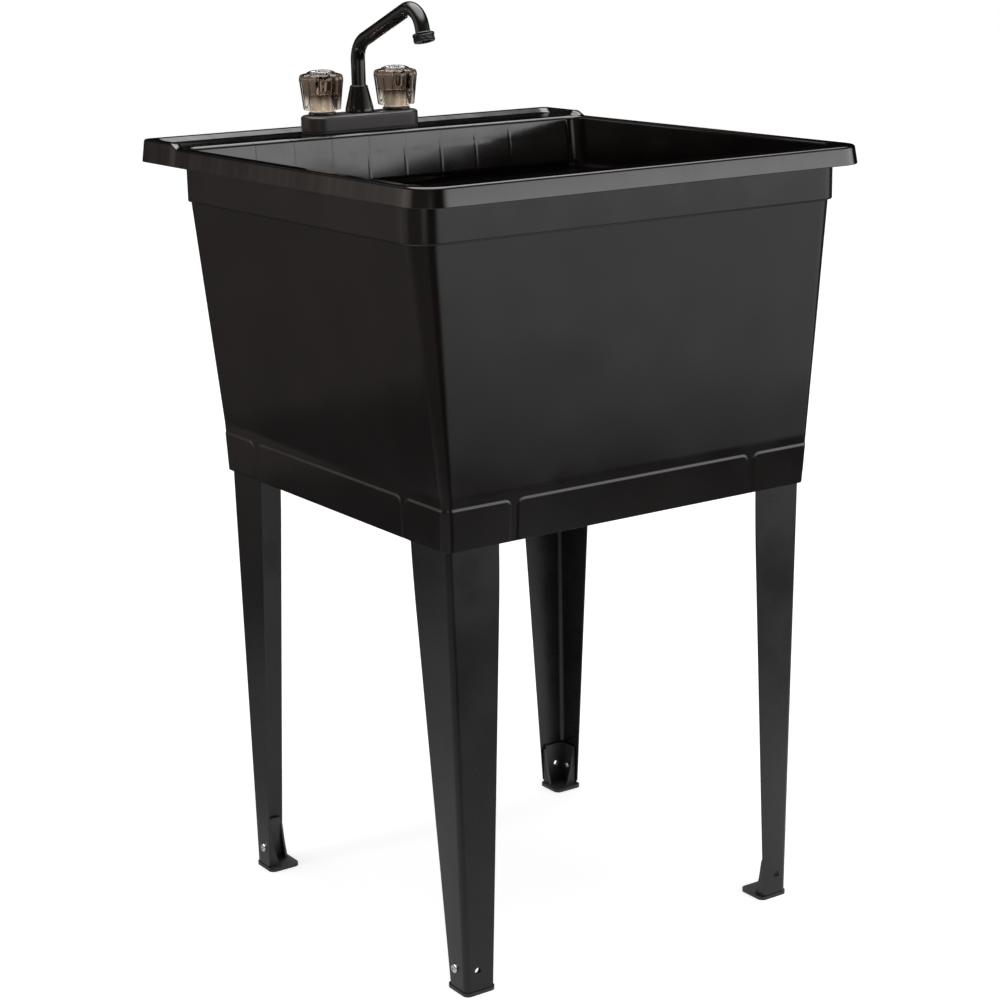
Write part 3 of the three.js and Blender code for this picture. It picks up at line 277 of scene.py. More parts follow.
@dataclass(frozen=True)
class Metal:
    """Bare or plated metal with a fine grain."""

    name: str
    slot: str
    colour: tuple
    gloss: float
    dull: float = 0.86  # the darker patches' share of the colour
    grain: float = 4e-6  # in metres

    def shader(self) -> Shader:
        """Builds the finish's nodes."""
        s = Shader(self.name)
        tint = tuple(c * self.dull for c in self.colour)
        s.set(Base_Color=s.blend(s.noise(160.0, 4.0), tint, self.colour), Metallic=1.0)
        s.set(Roughness=s.noise(240.0, 4.0).ramp(0.3, 0.8) * 0.16 + self.gloss)
        s.bump(s.noise(900.0, 2.0), self.grain)
        return s


@dataclass(frozen=True)
class Clear:
    """Clear or smoked acrylic: light goes through it, tinted, with faint flow lines inside the moulding."""

    name: str
    slot: str
    thin: tuple
    thick: tuple
    gloss: float
    index: float = 1.49
    flow: float = 1.5e-5  # depth of the flow lines, in metres

    def shader(self) -> Shader:
        """Builds the finish's nodes."""
        s = Shader(self.name)
        s.set(Base_Color=s.blend(s.noise(60.0, 3.0), self.thick, self.thin))
        s.set(Roughness=s.noise(90.0, 3.0).ramp(0.4, 0.8) * 0.04 + self.gloss)
        s.set(Transmission_Weight=1.0, IOR=self.index)
        s.bump(s.noise(220.0, 2.0, (1.0, 1.0, 0.3)), self.flow)
        return s


@dataclass(frozen=True)
class Smoked(Clear):
    """Smoked acrylic, as Clear, with more smoke in the solid upper half of the knob than round its core."""

    deep: tuple = (0.11, 0.078, 0.058)
    core_top: tuple = (0.905, 0.919)  # the smoke deepens between these heights, in metres
    streak: float = 0.016  # how far its streaks reach down, in metres

    def shader(self) -> Shader:
        """Builds the finish's nodes."""
        s = super().shader()
        streaks = s.noise(160.0, 3.0, (1.0, 1.0, 0.12)) * self.streak + s.z
        pale = s.surface.inputs["Base Color"].links[0].from_socket
        s.set(Base_Color=s.blend(streaks.ramp(*self.core_top), pale, self.deep))
        return s


TUB_BLACK = ((0.0038, 0.0029, 0.0026), (0.0056, 0.0045, 0.0041))
LEG_BLACK = ((0.0034, 0.0031, 0.0031), (0.0050, 0.0046, 0.0045))
FOOT_BLACK = ((0.010, 0.010, 0.010), (0.015, 0.0145, 0.014))
RUBBER_BLACK = ((0.014, 0.014, 0.014), (0.022, 0.021, 0.021))
TAP_BLACK = ((0.0055, 0.0052, 0.0052), (0.0080, 0.0076, 0.0075))
COVER_BLACK = ((0.022, 0.0185, 0.018), (0.030, 0.026, 0.0255))
FROSTED = ((0.80, 0.77, 0.70), (0.90, 0.88, 0.82))


class Finish(Enum):
    """The sink's finishes. The tap's cover is duller than its other black pieces, in the same slot."""

    TUB = TubPlastic("tub_plastic", "tub_plastic", *TUB_BLACK, 0.11, cloud=0.06, wave=1.1e-3)
    LEG = Enamel("leg_enamel", "leg_paint", *LEG_BLACK, 0.24)
    FOOT = Moulded("foot_plastic", "foot_plastic", *FOOT_BLACK, 0.42, grain=8e-6)
    ZINC = Metal("zinc_plate", "zinc", (0.72, 0.73, 0.74), 0.2)
    STEEL = Metal("stainless_steel", "drain_steel", (0.62, 0.61, 0.6), 0.16)
    RUBBER = Moulded("black_rubber", "rubber", *RUBBER_BLACK, 0.62, grain=1e-5)
    WHITE = Moulded("white_plastic", "white_plastic", (0.7, 0.69, 0.65), (0.78, 0.77, 0.73), 0.36)
    GREY = Moulded("grey_plastic", "grey_plastic", (0.25, 0.26, 0.27), (0.31, 0.32, 0.33), 0.42, grain=6e-6)
    TAP = Moulded("tap_plastic", "tap_plastic", *TAP_BLACK, 0.2)
    COVER = Moulded("cover_plastic", "tap_plastic", *COVER_BLACK, 0.33, grain=3e-6)
    SMOKE = Smoked("smoked_acrylic", "smoked_acrylic", (0.82, 0.75, 0.66), (0.72, 0.64, 0.54), 0.02)
    FROST = Moulded("frosted_plastic", "frosted_plastic", *FROSTED, 0.38, grain=8e-6)
    CLEAR = Clear("clear_acrylic", "clear_acrylic", (0.86, 0.84, 0.82), (0.74, 0.71, 0.69), 0.05)

    def material(self) -> bpy.types.Material:
        """The finish's material, made the first time it is asked for.

        Its name ends in _finish, because the CAD model brings materials of its own under the slots' names.
        """
        name = f"{self.value.name}_finish"
        if name not in bpy.data.materials:
            self.value.shader().material.name = name
        return bpy.data.materials[name]


# --------------------------------------------------------------------------------------------------- surfaces
@dataclass
class Surface:
    """A skin in millimetres: points, and faces as tuples of point numbers."""

    points: Array
    faces: list

    def moved(self, dx: float = 0.0, dy: float = 0.0, dz: float = 0.0) -> "Surface":
        """The skin shifted."""
        return Surface(self.points + np.array([dx, dy, dz]), self.faces)

    def turned(self, axis: str, degrees: float) -> "Surface":
        """The skin turned about an axis through the origin."""
        matrix = np.array(Matrix.Rotation(math.radians(degrees), 3, axis))
        return Surface(self.points @ matrix.T, self.faces)

    def swung(self) -> "Surface":
        """The skin with its axes swapped round: (a, b, h) becomes (h, a, b), so its height runs along X."""
        return Surface(self.points[:, [2, 0, 1]], self.faces)

    def mirrored(self, sx: int, sy: int) -> "Surface":
        """The skin with X and Y multiplied by 1 or -1. Its normals are worked out again when it is made."""
        return Surface(self.points * np.array([sx, sy, 1.0]), self.faces)


def joined(*surfaces: Surface) -> Surface:
    """Several skins as one."""
    starts = np.cumsum([0, *(len(s.points) for s in surfaces)])
    faces = [tuple(i + start for i in face) for s, start in zip(surfaces, starts) for face in s.faces]
    return Surface(np.concatenate([s.points for s in surfaces]), faces)


def skin(rings: Array, closed: bool = False) -> Surface:
    """A skin over rings: each ring is closed, and joined to the next.

    Args:
        rings: places, shaped (rings, points in a ring, 3). An end ring whose points are all alike is a pole.
        closed: whether the last ring is joined to the first.

    Returns:
        The skin. Face (i, j) has corners (i, j), (i, j+1), (i+1, j+1), (i+1, j).
    """
    rows, cols = rings.shape[:2]
    i = np.arange(rows if closed else rows - 1)[:, None]
    j = np.arange(cols)[None, :]
    k = (j + 1) % cols
    below = (i + 1) % rows
    corners = np.stack([i * cols + j, i * cols + k, below * cols + k, below * cols + j], axis=-1)
    return Surface(rings.reshape(-1, 3), [tuple(f) for f in corners.reshape(-1, 4).tolist()])


def capped(rings: Array) -> Surface:
    """A skin over rings with a flat face over each end."""
    made = skin(rings)
    rows, cols = rings.shape[:2]
    last = (rows - 1) * cols
    return Surface(made.points, [*made.faces, tuple(range(cols)), tuple(range(last, last + cols))])


def prism(outline: Sequence, low: float, high: float) -> Surface:
    """A flat outline in X and Y drawn up from one height to another, with flat ends."""
    flat = np.asarray(outline, float)
    return capped(np.stack([np.column_stack([flat, np.full(len(flat), z)]) for z in (low, high)]))


def softened(line: Array, reach: float | Sequence[float], steps: int = 6, closed: bool = False) -> Array:
    """Rounds the corners of a line of points, or of a stack of rings taken point by point.

    Each corner p becomes the quadratic curve (1-s)^2 a + 2 s (1-s) p + s^2 b, where a and b lie `reach` from p
    along the two stretches that meet there, or just under half-way along a stretch that is shorter than that.

    Args:
        line: points, shaped (n, k), or rings, shaped (n, points in a ring, k).
        reach: one distance, or one for each row. A row with 0 stays as it is.
        steps: pieces in each curve.
        closed: whether the last row is joined to the first. The ends of an open line stay as they are.

    Returns:
        The rounded rows, shaped as they came but more of them.
    """
    line = np.asarray(line, float)
    reaches = np.array(np.broadcast_to(np.asarray(reach, float), (len(line),)))
    if not closed:
        reaches[[0, -1]] = 0.0
    s = np.linspace(0.0, 1.0, steps + 1).reshape(-1, *[1] * (line.ndim - 1))
    rows = []
    for i, r in enumerate(reaches):
        if r == 0:
            rows.append(line[i : i + 1])
            continue
        start, end = (_towards(line[i], line[(i + k) % len(line)], r) for k in (-1, 1))
        rows.append((1 - s) ** 2 * start + 2 * s * (1 - s) * line[i] + s**2 * end)
    return np.concatenate(rows)


def _towards(here: Array, there: Array, reach: float) -> Array:
    """Points `reach` on the way from here to there, and at most just under half-way."""
    stretch = there - here
    length = np.maximum(np.linalg.norm(stretch, axis=-1, keepdims=True), 1e-9)
    return here + stretch * (np.minimum(reach, 0.49 * length) / length)


def lathe(profile: Array, sides: int = 96, relief: Relief | None = None) -> Surface:
    """A turned form about +Z: the point (r, z) of the profile goes round as (r sin a, -r cos a, z).

    Args:
        profile: (radius, height) pairs. It starts and ends on the axis, or else it is taken to close on itself.
        sides: points round the form.
        relief: gives what to add to the radius, from arrays of angles and heights.

    Returns:
        The closed skin.
    """
    profile = np.asarray(profile, float)
    closed = bool(profile[0, 0] > 1e-6 or profile[-1, 0] > 1e-6)
    angle = np.linspace(0.0, 2 * np.pi, sides, endpoint=False)[None, :]
    radius, height = profile[:, :1] + 0 * angle, profile[:, 1:] + 0 * angle
    if relief is not None:
        radius = np.where(radius > 1e-6, radius + relief(angle, height), radius)
    return skin(np.stack([radius * np.sin(angle), -radius * np.cos(angle), height], axis=-1), closed)


def rod(radius: float, low: float, high: float, sides: int) -> Surface:
    """A solid rod about the Z axis."""
    return lathe([(0, low), (radius, low), (radius, high), (0, high)], sides)


def ring_profile(inner: float, outer: float, low: float, high: float, edge: float = 0.3) -> Array:
    """The closed profile of a plain ring, with its corners rounded."""
    corners = np.array([[inner, low], [outer, low], [outer, high], [inner, high]])
    return softened(corners, edge, 4, closed=True)


def thread(depth: float, pitch: float, low: float, high: float, end: float = np.inf) -> Relief:
    """Relief of a screw thread: a rounded ridge that climbs one pitch a turn and fades towards its two ends.

    The height of the ridge is depth (cos(2 pi z / pitch - a) - 1) / 2, so its crests keep the form's radius.

    Args:
        depth: of the thread.
        pitch: from one crest to the next.
        low: where the thread starts.
        high: where it ends.
        end: the height from which on nothing is changed.

    Returns:
        The relief.
    """

    def relief(angle: Array, height: Array) -> Array:
        """What the thread adds to the radius."""
        fade = np.clip(np.minimum(height - low, high - height) / pitch, 0.0, 1.0)
        ridge = fade * depth * (np.cos(2 * np.pi * height / pitch - angle) - 1) / 2
        return np.where(height < end, ridge, 0.0)

    return relief


def grooves(depth: float, count: int, low: float, high: float = np.inf) -> Relief:
    """Relief of upright grooves between two heights: -depth (1 - cos(count a)) / 2."""

    def relief(angle: Array, height: Array) -> Array:
        """What the grooves add to the radius."""
        return -depth * (0.5 - 0.5 * np.cos(count * angle)) * (height > low) * (height < high)

    return relief


def along(low: float, high: float, count: int, radius: float) -> Array:
    """Evenly spaced (radius, height) points up a straight wall."""
    return np.column_stack([np.full(count, radius), np.linspace(low, high, count)])


def rounded_rectangle(length: float, depth: float, radius: float, steps: int = 16) -> Array:
    """A rectangle with round corners about the origin, as points in X and Y."""
    turn = np.linspace(0.0, np.pi / 2, steps + 1)
    quarters = np.arange(4)[:, None] * np.pi / 2 - np.pi / 2 + turn[None, :]
    cx = np.array([1, 1, -1, -1])[:, None] * (length / 2 - radius)
    cy = np.array([-1, 1, 1, -1])[:, None] * (depth / 2 - radius)
    return np.stack([cx + radius * np.cos(quarters), cy + radius * np.sin(quarters)], axis=-1).reshape(-1, 2)


# --------------------------------------------------------------------------------------------------- workshop
def shaded(mesh: bpy.types.Mesh, sharp: float = SHARP) -> None:
    """Shades a mesh smooth, but for edges that turn by more than `sharp` degrees."""
    mesh.polygons.foreach_set("use_smooth", np.ones(len(mesh.polygons), bool))
    mesh.set_sharp_from_angle(angle=math.radians(sharp))


def make(name: str, surface: Surface, sharp: float = SHARP) -> bpy.types.Object:
    """Turns a skin into a closed mesh object with its faces outwards.

    Args:
        name: the object's name.
        surface: the skin, in millimetres.
        sharp: edges that turn by more than this many degrees stay sharp.

    Returns:
        The object, at the origin, with its place in its mesh.
    """
    mesh = bpy.data.meshes.new(name)
    mesh.from_pydata((surface.points * MM).tolist(), [], surface.faces)
    work = bmesh.new()
    work.from_mesh(mesh)
    bmesh.ops.remove_doubles(work, verts=work.verts, dist=SEAM)
    bmesh.ops.recalc_face_normals(work, faces=work.faces)
    if work.calc_volume(signed=True) < 0:
        bmesh.ops.reverse_faces(work, faces=work.faces)
    work.to_mesh(mesh)
    work.free()
    shaded(mesh, sharp)
    made = bpy.data.objects.new(name, mesh)
    bpy.context.scene.collection.objects.link(made)
    return made


def worked(piece: bpy.types.Object, cuts: Sequence = (), adds: Sequence = ()) -> bpy.types.Object:
    """Joins closed skins to a piece, then cuts others out of it, and keeps the result in its mesh.

    Args:
        piece: the object.
        cuts: the skins of what is taken away.
        adds: the skins of what is joined on, before the cuts.

    Returns:
        The same object.
    """
    helpers = []
    for operation, tools in (("UNION", adds), ("DIFFERENCE", cuts)):
        for tool in tools:
            helper = make(f"{piece.name}_helper_{len(helpers)}", tool)
            helpers.append(helper)
            work = piece.modifiers.new("work", "BOOLEAN")
            work.operation = operation
            work.solver = "EXACT"
            work.object = helper
    settle(piece)
    for helper in helpers:
        bpy.data.objects.remove(helper)
    shaded(piece.data)
    return piece


def settle(piece: bpy.types.Object) -> None:
    """Applies a piece's modifiers."""
    bpy.context.view_layer.update()
    seen = piece.evaluated_get(bpy.context.evaluated_depsgraph_get())
    mesh = bpy.data.meshes.new_from_object(seen)
    piece.modifiers.clear()
    piece.data = mesh


def eased(piece: bpy.types.Object, width: float) -> bpy.types.Object:
    """Rounds a piece's edges that turn by 40 degrees or more, by a width in millimetres."""
    bevel = piece.modifiers.new("edges", "BEVEL")
    bevel.width = width * MM
    bevel.segments = 2
    bevel.limit_method = "ANGLE"
    bevel.angle_limit = math.radians(40.0)
    bevel.harden_normals = True
    return piece


def fit(piece: bpy.types.Object, body: str, finish: Finish, *nodes: str) -> bpy.types.Object:
    """Dresses a piece, fixes it to its body and lets it stand for CAD nodes."""
    piece.data.materials.clear()
    piece.data.materials.append(finish.material())
    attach(piece, body)
    if nodes:
        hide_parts(*nodes)
    LOG.info("%s: %d faces, on %s, for %s", piece.name, len(piece.data.polygons), body, nodes or "itself")
    return piece


def even(piece: bpy.types.Object) -> bpy.types.Object:
    """Gives a piece's broad flat faces level shading right up to their rounded edges."""
    weighted = piece.modifiers.new("shading", "WEIGHTED_NORMAL")
    weighted.keep_sharp = True
    return piece


# -------------------------------------------------------------------------------------------------------- tub
@dataclass(frozen=True)
class Outline:
    """A round-cornered rectangle seen from above: half width, front, rear, and front and rear corner radii."""

    x: float
    front: float
    rear: float
    rf: float
    rr: float

    def inset(self, by: float, by_rear: float | None = None) -> "Outline":
        """The outline moved inwards."""
        rear = by if by_rear is None else by_rear
        radii = (max(r - by, 1.0) for r in (self.rf, self.rr))
        return Outline(self.x - by, self.front + by, self.rear - rear, *radii)

    def towards(self, other: "Outline", share: float) -> "Outline":
        """The outline part of the way to another."""
        mine, theirs = (np.array([o.x, o.front, o.rear, o.rf, o.rr]) for o in (self, other))
        return Outline(*(mine + (theirs - mine) * share))


@dataclass(frozen=True)
class Station:
    """One level of the tub's section: an outline at a height, and how its edge is rounded."""

    outline: Outline
    z: float
    edge: float = 0.0
    lip: bool = False  # whether points follow the step of the lip round the deck
    reach: float = 0.0  # how far the sides stand in where the lip is
    lift: float = 0.0  # height of the lip here


@dataclass(frozen=True)
class Tub:
    """The one-piece moulded tub: skirt, body, collar, rim with a lip round the rear deck, basin and sump."""

    rim_width: float = 570.0
    rim_depth: float = 600.0
    rim_height: float = 864.0
    wall: float = 3.2
    rim_drop: float = 20.0
    rim_draft: float = 3.5
    rim_edge: float = 3.0
    basin_edge: float = 5.0
    lip_height: float = 5.5
    lip_top: float = 12.5
    lip_foot_side: float = 17.0
    lip_foot_rear: float = 25.0
    lip_reach: float = 75.0
    lip_run: float = 17.0
    lip_corner: float = 9.0
    deck_depth: float = 79.5
    collar_bottom: float = 59.0
    basin_depth: float = 317.0
    skirt_height: float = 55.0
    floor_fillet: float = 18.0
    floor_fall: float = 3.0
    floor_under_drop: float = 3.2
    sump_radius: float = 47.0
    sump_depth: float = 4.0
    drain_hole: float = 22.3
    rear_lean: float = 6.0  # how far the basin's rear wall comes forward over the collar's height
    band_proud: float = 0.8
    band_height: float = 44.5
    groove_front: float = 82.0  # corner to the groove in the front and rear faces
    groove_side: float = 76.0
    groove_half: float = 4.5
    band_corner: float = 7.0
    rim_corners: tuple = (35.0, 12.0)  # radii: front, rear
    collar_side: float = 12.0  # how far the collar stands in from the rim's foot
    collar_front: float = 28.5
    collar_corners: tuple = (30.0, 20.0)
    body_step: tuple = (4.7, 2.0)  # how far the body's top stands in from the collar: elsewhere, at the rear
    body_draft: tuple = (28.5, 9.0, 2.5)  # how far its foot stands in from its top: sides, front, rear
    crease_corner: float = 10.0
    skirt_draft: tuple = (2.2, 4.3, 2.2)
    skirt_corner: float = 9.5
    rib_count: int = 8
    rib_pitch: float = 50.0
    rib_drop: float = 34.0
    rib_middle: float = -15.0
    rib_half: float = 1.0
    tap_x: float = -19.0
    tap_y: float = 251.0
    tap_centres: float = 101.6
    deck_hole: float = 14.0
    socket_wall: float = 2.6
    socket_bend: float = 7.0
    socket_depth: float = 46.0
    socket_gap: float = 2.2  # a leg's outer face to its socket's wall
    socket_reach: tuple = (66.0, 72.0)  # how far the wall runs from the leg's corner, in X and Y
    leg_corner: float = 233.6
    leg_front: float = 249.5
    leg_rear: float = 209.8
    corner_steps: int = 18
    lip_steps: int = 14
    edge_steps: int = 5

    @property
    def rim_foot(self) -> Outline:
        """The foot of the rim's turned-down skirt."""
        return Outline(self.rim_width / 2, -self.rim_depth / 2, self.rim_depth / 2, *self.rim_corners)

    @property
    def collar(self) -> Outline:
        """The collar under the rim."""
        front, rear = self.collar_front - self.rim_depth / 2, self.rim_depth / 2 - self.deck_depth
        return Outline(self.rim_width / 2 - self.collar_side, front, rear, *self.collar_corners)

    @property
    def body(self) -> Outline:
        """The body's top, under the collar."""
        return self.collar.inset(*self.body_step)

    def drafted(self, top: Outline, draft: tuple, corner: float) -> Outline:
        """The outline at the foot of drafted walls, with one radius at all its corners."""
        side, front, rear = draft
        return Outline(top.x - side, top.front + front, top.rear - rear, corner, corner)

    @property
    def crease(self) -> Outline:
        """The soft crease where the body's walls meet the lower skirt."""
        return self.drafted(self.body, self.body_draft, self.crease_corner)

    @property
    def skirt_foot(self) -> Outline:
        """The lower skirt's open foot."""
        return self.drafted(self.crease, self.skirt_draft, self.skirt_corner)

    @property
    def crease_z(self) -> float:
        """Height of that crease."""
        return self.rim_height - self.basin_depth

    @property
    def skirt_z(self) -> float:
        """Height of the tub's lowest edge."""
        return self.crease_z - self.skirt_height

    @property
    def drain_y(self) -> float:
        """Where the drain stands, midway from front to rear."""
        return (self.crease.front + self.crease.rear) / 2

    @property
    def lip_start(self) -> float:
        """Y at which the lip's step begins."""
        return self.rim_depth / 2 - self.lip_reach - self.lip_run

    def shares(self, length: float, ends: tuple, *near: float) -> Array:
        """Shares along a straight stretch, with more of them about each groove at a distance from its start."""
        close = [g / length + np.linspace(-12.0, 12.0, 25) / length for g in near]
        return np.unique(np.round(np.concatenate([np.linspace(*ends, 12), *close]), 6))

    def half(self, station: Station) -> Array:
        """The right half of a ring, from the middle of the front to the middle of the rear.

        Straight stretches are shares of their length, corners are quarter circles, and on a ring with the lip
        the rear of each side follows x = X - reach t^2 (3 - 2 t), with t from 0 to 1 along the lip's step.

        Args:
            station: the level.

        Returns:
            Points in X and Y.
        """
        o = station.outline
        foot = self.skirt_foot
        front = self.shares(foot.x - foot.rf, (0.0, 0.98), foot.x - self.groove_front)
        length = foot.rear - foot.rr - foot.front - foot.rf
        near, far = self.groove_side - foot.rf, length - self.groove_side + foot.rr
        side = self.shares(length, (0.01, 0.99), near, far)
        quarter = np.linspace(0.0, np.pi / 2, self.corner_steps + 1)
        fan_steps = self.corner_steps // 2
        y0 = o.front + o.rf
        if station.lip:
            t = np.linspace(0.0, 1.0, self.lip_steps + 1)
            y1, inner = self.lip_start, o.x - station.reach - o.rr
            step = np.column_stack([o.x - station.reach * t * t * (3 - 2 * t), y1 + t * self.lip_run])
        else:
            fan_steps += self.lip_steps + 1
            step = np.zeros((0, 2))
            y1, inner = o.rear - o.rr, o.x - o.rr
        fan = np.linspace(0.0, np.pi / 2, fan_steps + 1)
        parts = [
            np.column_stack([front * (o.x - o.rf), np.full(len(front), o.front)]),
            np.column_stack([o.x - o.rf + o.rf * np.sin(quarter), y0 - o.rf * np.cos(quarter)]),
            np.column_stack([np.full(len(side), o.x), y0 + side * (y1 - y0)]),
            step,
            np.column_stack([inner + o.rr * np.cos(fan), o.rear - o.rr + o.rr * np.sin(fan)]),
            np.column_stack([front[::-1] * inner, np.full(len(front), o.rear)]),
        ]
        return np.concatenate(parts)

    def ring(self, station: Station) -> Array:
        """A whole ring in space: the right half and its mirror image. A lip lifts it as its step moves it."""
        half = self.half(station)
        flat = np.concatenate([half, (half * [-1.0, 1.0])[::-1][1:-1]])
        t = np.clip((flat[:, 1] - self.lip_start) / self.lip_run, 0.0, 1.0)
        return np.column_stack([flat, station.z + station.lift * t * t * (3 - 2 * t)])

    def circle(self, radius: float) -> Outline:
        """A circle round the drain, as an outline."""
        return Outline(radius, self.drain_y - radius, self.drain_y + radius, radius, radius)

    def stations(self) -> list[Station]:
        """The tub's section, from under the floor out, up, over the rim, down the basin and to the drain."""
        top, wall, half = self.rim_height, self.wall, self.rim_width / 2
        rim_top = self.rim_foot.inset(self.rim_draft)
        under = self.crease_z - self.floor_under_drop
        collar_z = top - self.collar_bottom
        inner = self.collar.inset(wall)
        leaned = Outline(inner.x, inner.front, inner.rear - self.rear_lean, inner.rf, inner.rr)
        lip_x = rim_top.x - 6.0
        foot_x = lip_x - 2.0
        back, corner = self.rim_depth / 2, self.lip_corner
        lip_top = Outline(lip_x, rim_top.front + 6.0, back - self.lip_top, 28.0, corner)
        lip_foot = Outline(foot_x, lip_top.front + 2.0, back - self.lip_foot_rear, 26.0, corner)
        floor_z = self.crease_z + wall
        fall_z = floor_z - self.floor_fall
        sump_z = fall_z - self.sump_depth
        band = np.concatenate([[2.0, 20.0], self.band_height + np.linspace(-9.0, 2.0, 12)])
        skirt = [
            Station(self.skirt_foot.towards(self.crease, h / self.skirt_height), self.skirt_z + h)
            for h in band.tolist()
        ]
        return [
            Station(self.crease.inset(wall + 0.2), under, 2.0),
            Station(self.skirt_foot.inset(wall), self.skirt_z, 0.6),
            Station(self.skirt_foot, self.skirt_z, 0.8),
            *skirt,
            Station(self.crease, self.crease_z, 3.0),
            Station(self.body, collar_z, 0.8),
            Station(self.collar, collar_z + 0.4, 1.8),
            Station(self.collar, top - wall, 1.5),
            Station(rim_top.inset(wall), top - wall, 2.0),
            Station(self.rim_foot.inset(wall), top - self.rim_drop, 0.7),
            Station(self.rim_foot, top - self.rim_drop, 0.9, lip=True),
            Station(rim_top, top, self.rim_edge, lip=True, lift=self.lip_height),
            Station(lip_top, top, 1.8, lip=True, reach=lip_x - (half - self.lip_top), lift=self.lip_height),
            Station(lip_foot, top, 3.0, lip=True, reach=foot_x - (half - self.lip_foot_side)),
            Station(inner, top, self.basin_edge),
            Station(leaned, collar_z + wall, 3.0),
            Station(self.body.inset(wall), collar_z - wall, 3.0),
            Station(self.crease.inset(wall), floor_z, self.floor_fillet),
            Station(self.circle(self.sump_radius + 3.0), fall_z, 3.0),
            Station(self.circle(self.sump_radius - 1.5), sump_z, 1.5),
            Station(self.circle(self.drain_hole), sump_z, 0.5),
            Station(self.circle(self.drain_hole), sump_z - wall, 0.5),
            Station(self.circle(self.sump_radius + wall), sump_z - wall, 1.5),
            Station(self.circle(self.sump_radius + wall), under, 1.5),
        ]

    def shell(self) -> Surface:
        """The section carried round the tub, with its edges rounded and the band on the lower skirt raised."""
        stations = self.stations()
        edges = [s.edge for s in stations]
        rings = softened(np.stack([self.ring(s) for s in stations]), edges, self.edge_steps, True)
        return skin(self.banded(rings), closed=True)

    def banded(self, rings: Array) -> Array:
        """Raises the lower skirt's band, but for an upright groove in each face beside each corner.

        The rise is a smooth step of d, the distance to the band's edge: the length of max(q, 0), plus the
        larger part of q where both are negative, less r. Here q is (groove half width + r - distance from the
        groove, height over the band's top + r), and r is the radius of the band's corners.

        Args:
            rings: the skin's rings, the outside of the lower skirt among them.

        Returns:
            The rings with the band raised.
        """
        x, y, z = np.moveaxis(rings, -1, 0)
        foot, r = self.skirt_foot, self.band_corner
        past_side, past_end = np.abs(x) - foot.x, np.maximum(foot.front - y, y - foot.rear)
        skirt = (np.maximum(past_side, past_end) > -0.9) & (z > self.skirt_z + 0.5) & (z < self.crease_z)
        across = past_end > past_side
        rear_groove = np.abs(foot.rear - self.groove_side - y)
        away_side = np.minimum(np.abs(y - foot.front - self.groove_side), rear_groove)
        away = np.where(across, np.abs(np.abs(x) - (foot.x - self.groove_front)), away_side)
        q = np.stack([self.groove_half + r - away, z - self.skirt_z - self.band_height + r])
        d = np.linalg.norm(np.maximum(q, 0), axis=0) + np.minimum(q.max(axis=0), 0) - r
        t = np.clip(0.5 - d / 1.6, 0.0, 1.0)
        rise = skirt * self.band_proud * t * t * (3 - 2 * t)
        sideways, endways = np.where(across, 0.0, np.sign(x)), np.where(across, np.sign(y - self.drain_y), 0.0)
        moved = rings.copy()
        moved[..., :2] += rise[..., None] * np.stack([sideways, endways], axis=-1)
        return moved

    def ribs(self) -> Surface:
        """Thin upright ribs between the collar and the rim's rear skirt, under the deck."""
        y0, y1 = self.collar.rear - self.wall / 2, self.rim_depth / 2 - self.rim_draft - self.wall / 2
        z, half = self.rim_height - self.wall, self.rib_half
        profile = [(y0, z + 1.6), (y0, z - self.rib_drop), (y1, z - self.rim_drop / 2), (y1, z + 1.6)]
        offsets = (np.arange(self.rib_count) - (self.rib_count - 1) / 2) * self.rib_pitch + self.rib_middle
        return joined(*(prism(profile, x - half, x + half).swung() for x in offsets.tolist()))

    def socket(self, rear: bool) -> Surface:
        """The bent wall under the floor that holds a leg's upper end, in the +X, +Y quarter."""
        w, bend = self.socket_wall, self.socket_bend
        back = bend + w * math.tan(math.pi / 8)
        corner = np.array([self.leg_corner, self.leg_rear if rear else self.leg_front])
        ix, iy = corner - self.socket_gap
        ex, ey = corner - np.array(self.socket_reach)
        ox = self.skirt_foot.x - self.wall / 2
        oy = (self.skirt_foot.rear if rear else -self.skirt_foot.front) - self.wall / 2
        outline = [
            (ex, oy), (ex - w, oy), (ex - w, iy - w), (ix - back, iy - w), (ix - w, iy - back),
            (ix - w, ey - w), (ox, ey - w), (ox, ey), (ix, ey), (ix, iy - bend), (ix - bend, iy), (ex, iy),
        ]
        under = self.crease_z - self.floor_under_drop
        return prism(outline, under - self.socket_depth, under + self.wall / 2)

    def build(self) -> None:
        """Makes the tub, its ribs and the legs' sockets."""
        hole = rod(self.deck_hole, self.rim_height - 8, self.rim_height + 6, 48)
        holes = [hole.moved(self.tap_x + side * self.tap_centres / 2, self.tap_y) for side in (-1, 1)]
        tub = even(worked(make("tub_shell", self.shell()), cuts=holes))
        fit(tub, "sink", Finish.TUB, "tub")
        fit(make("deck_ribs", self.ribs()), "sink", Finish.TUB)
        for _, sx, sy in CORNERS:
            fit(make(f"leg_socket_{sx}_{sy}", self.socket(sy > 0).mirrored(sx, sy)), "sink", Finish.TUB)


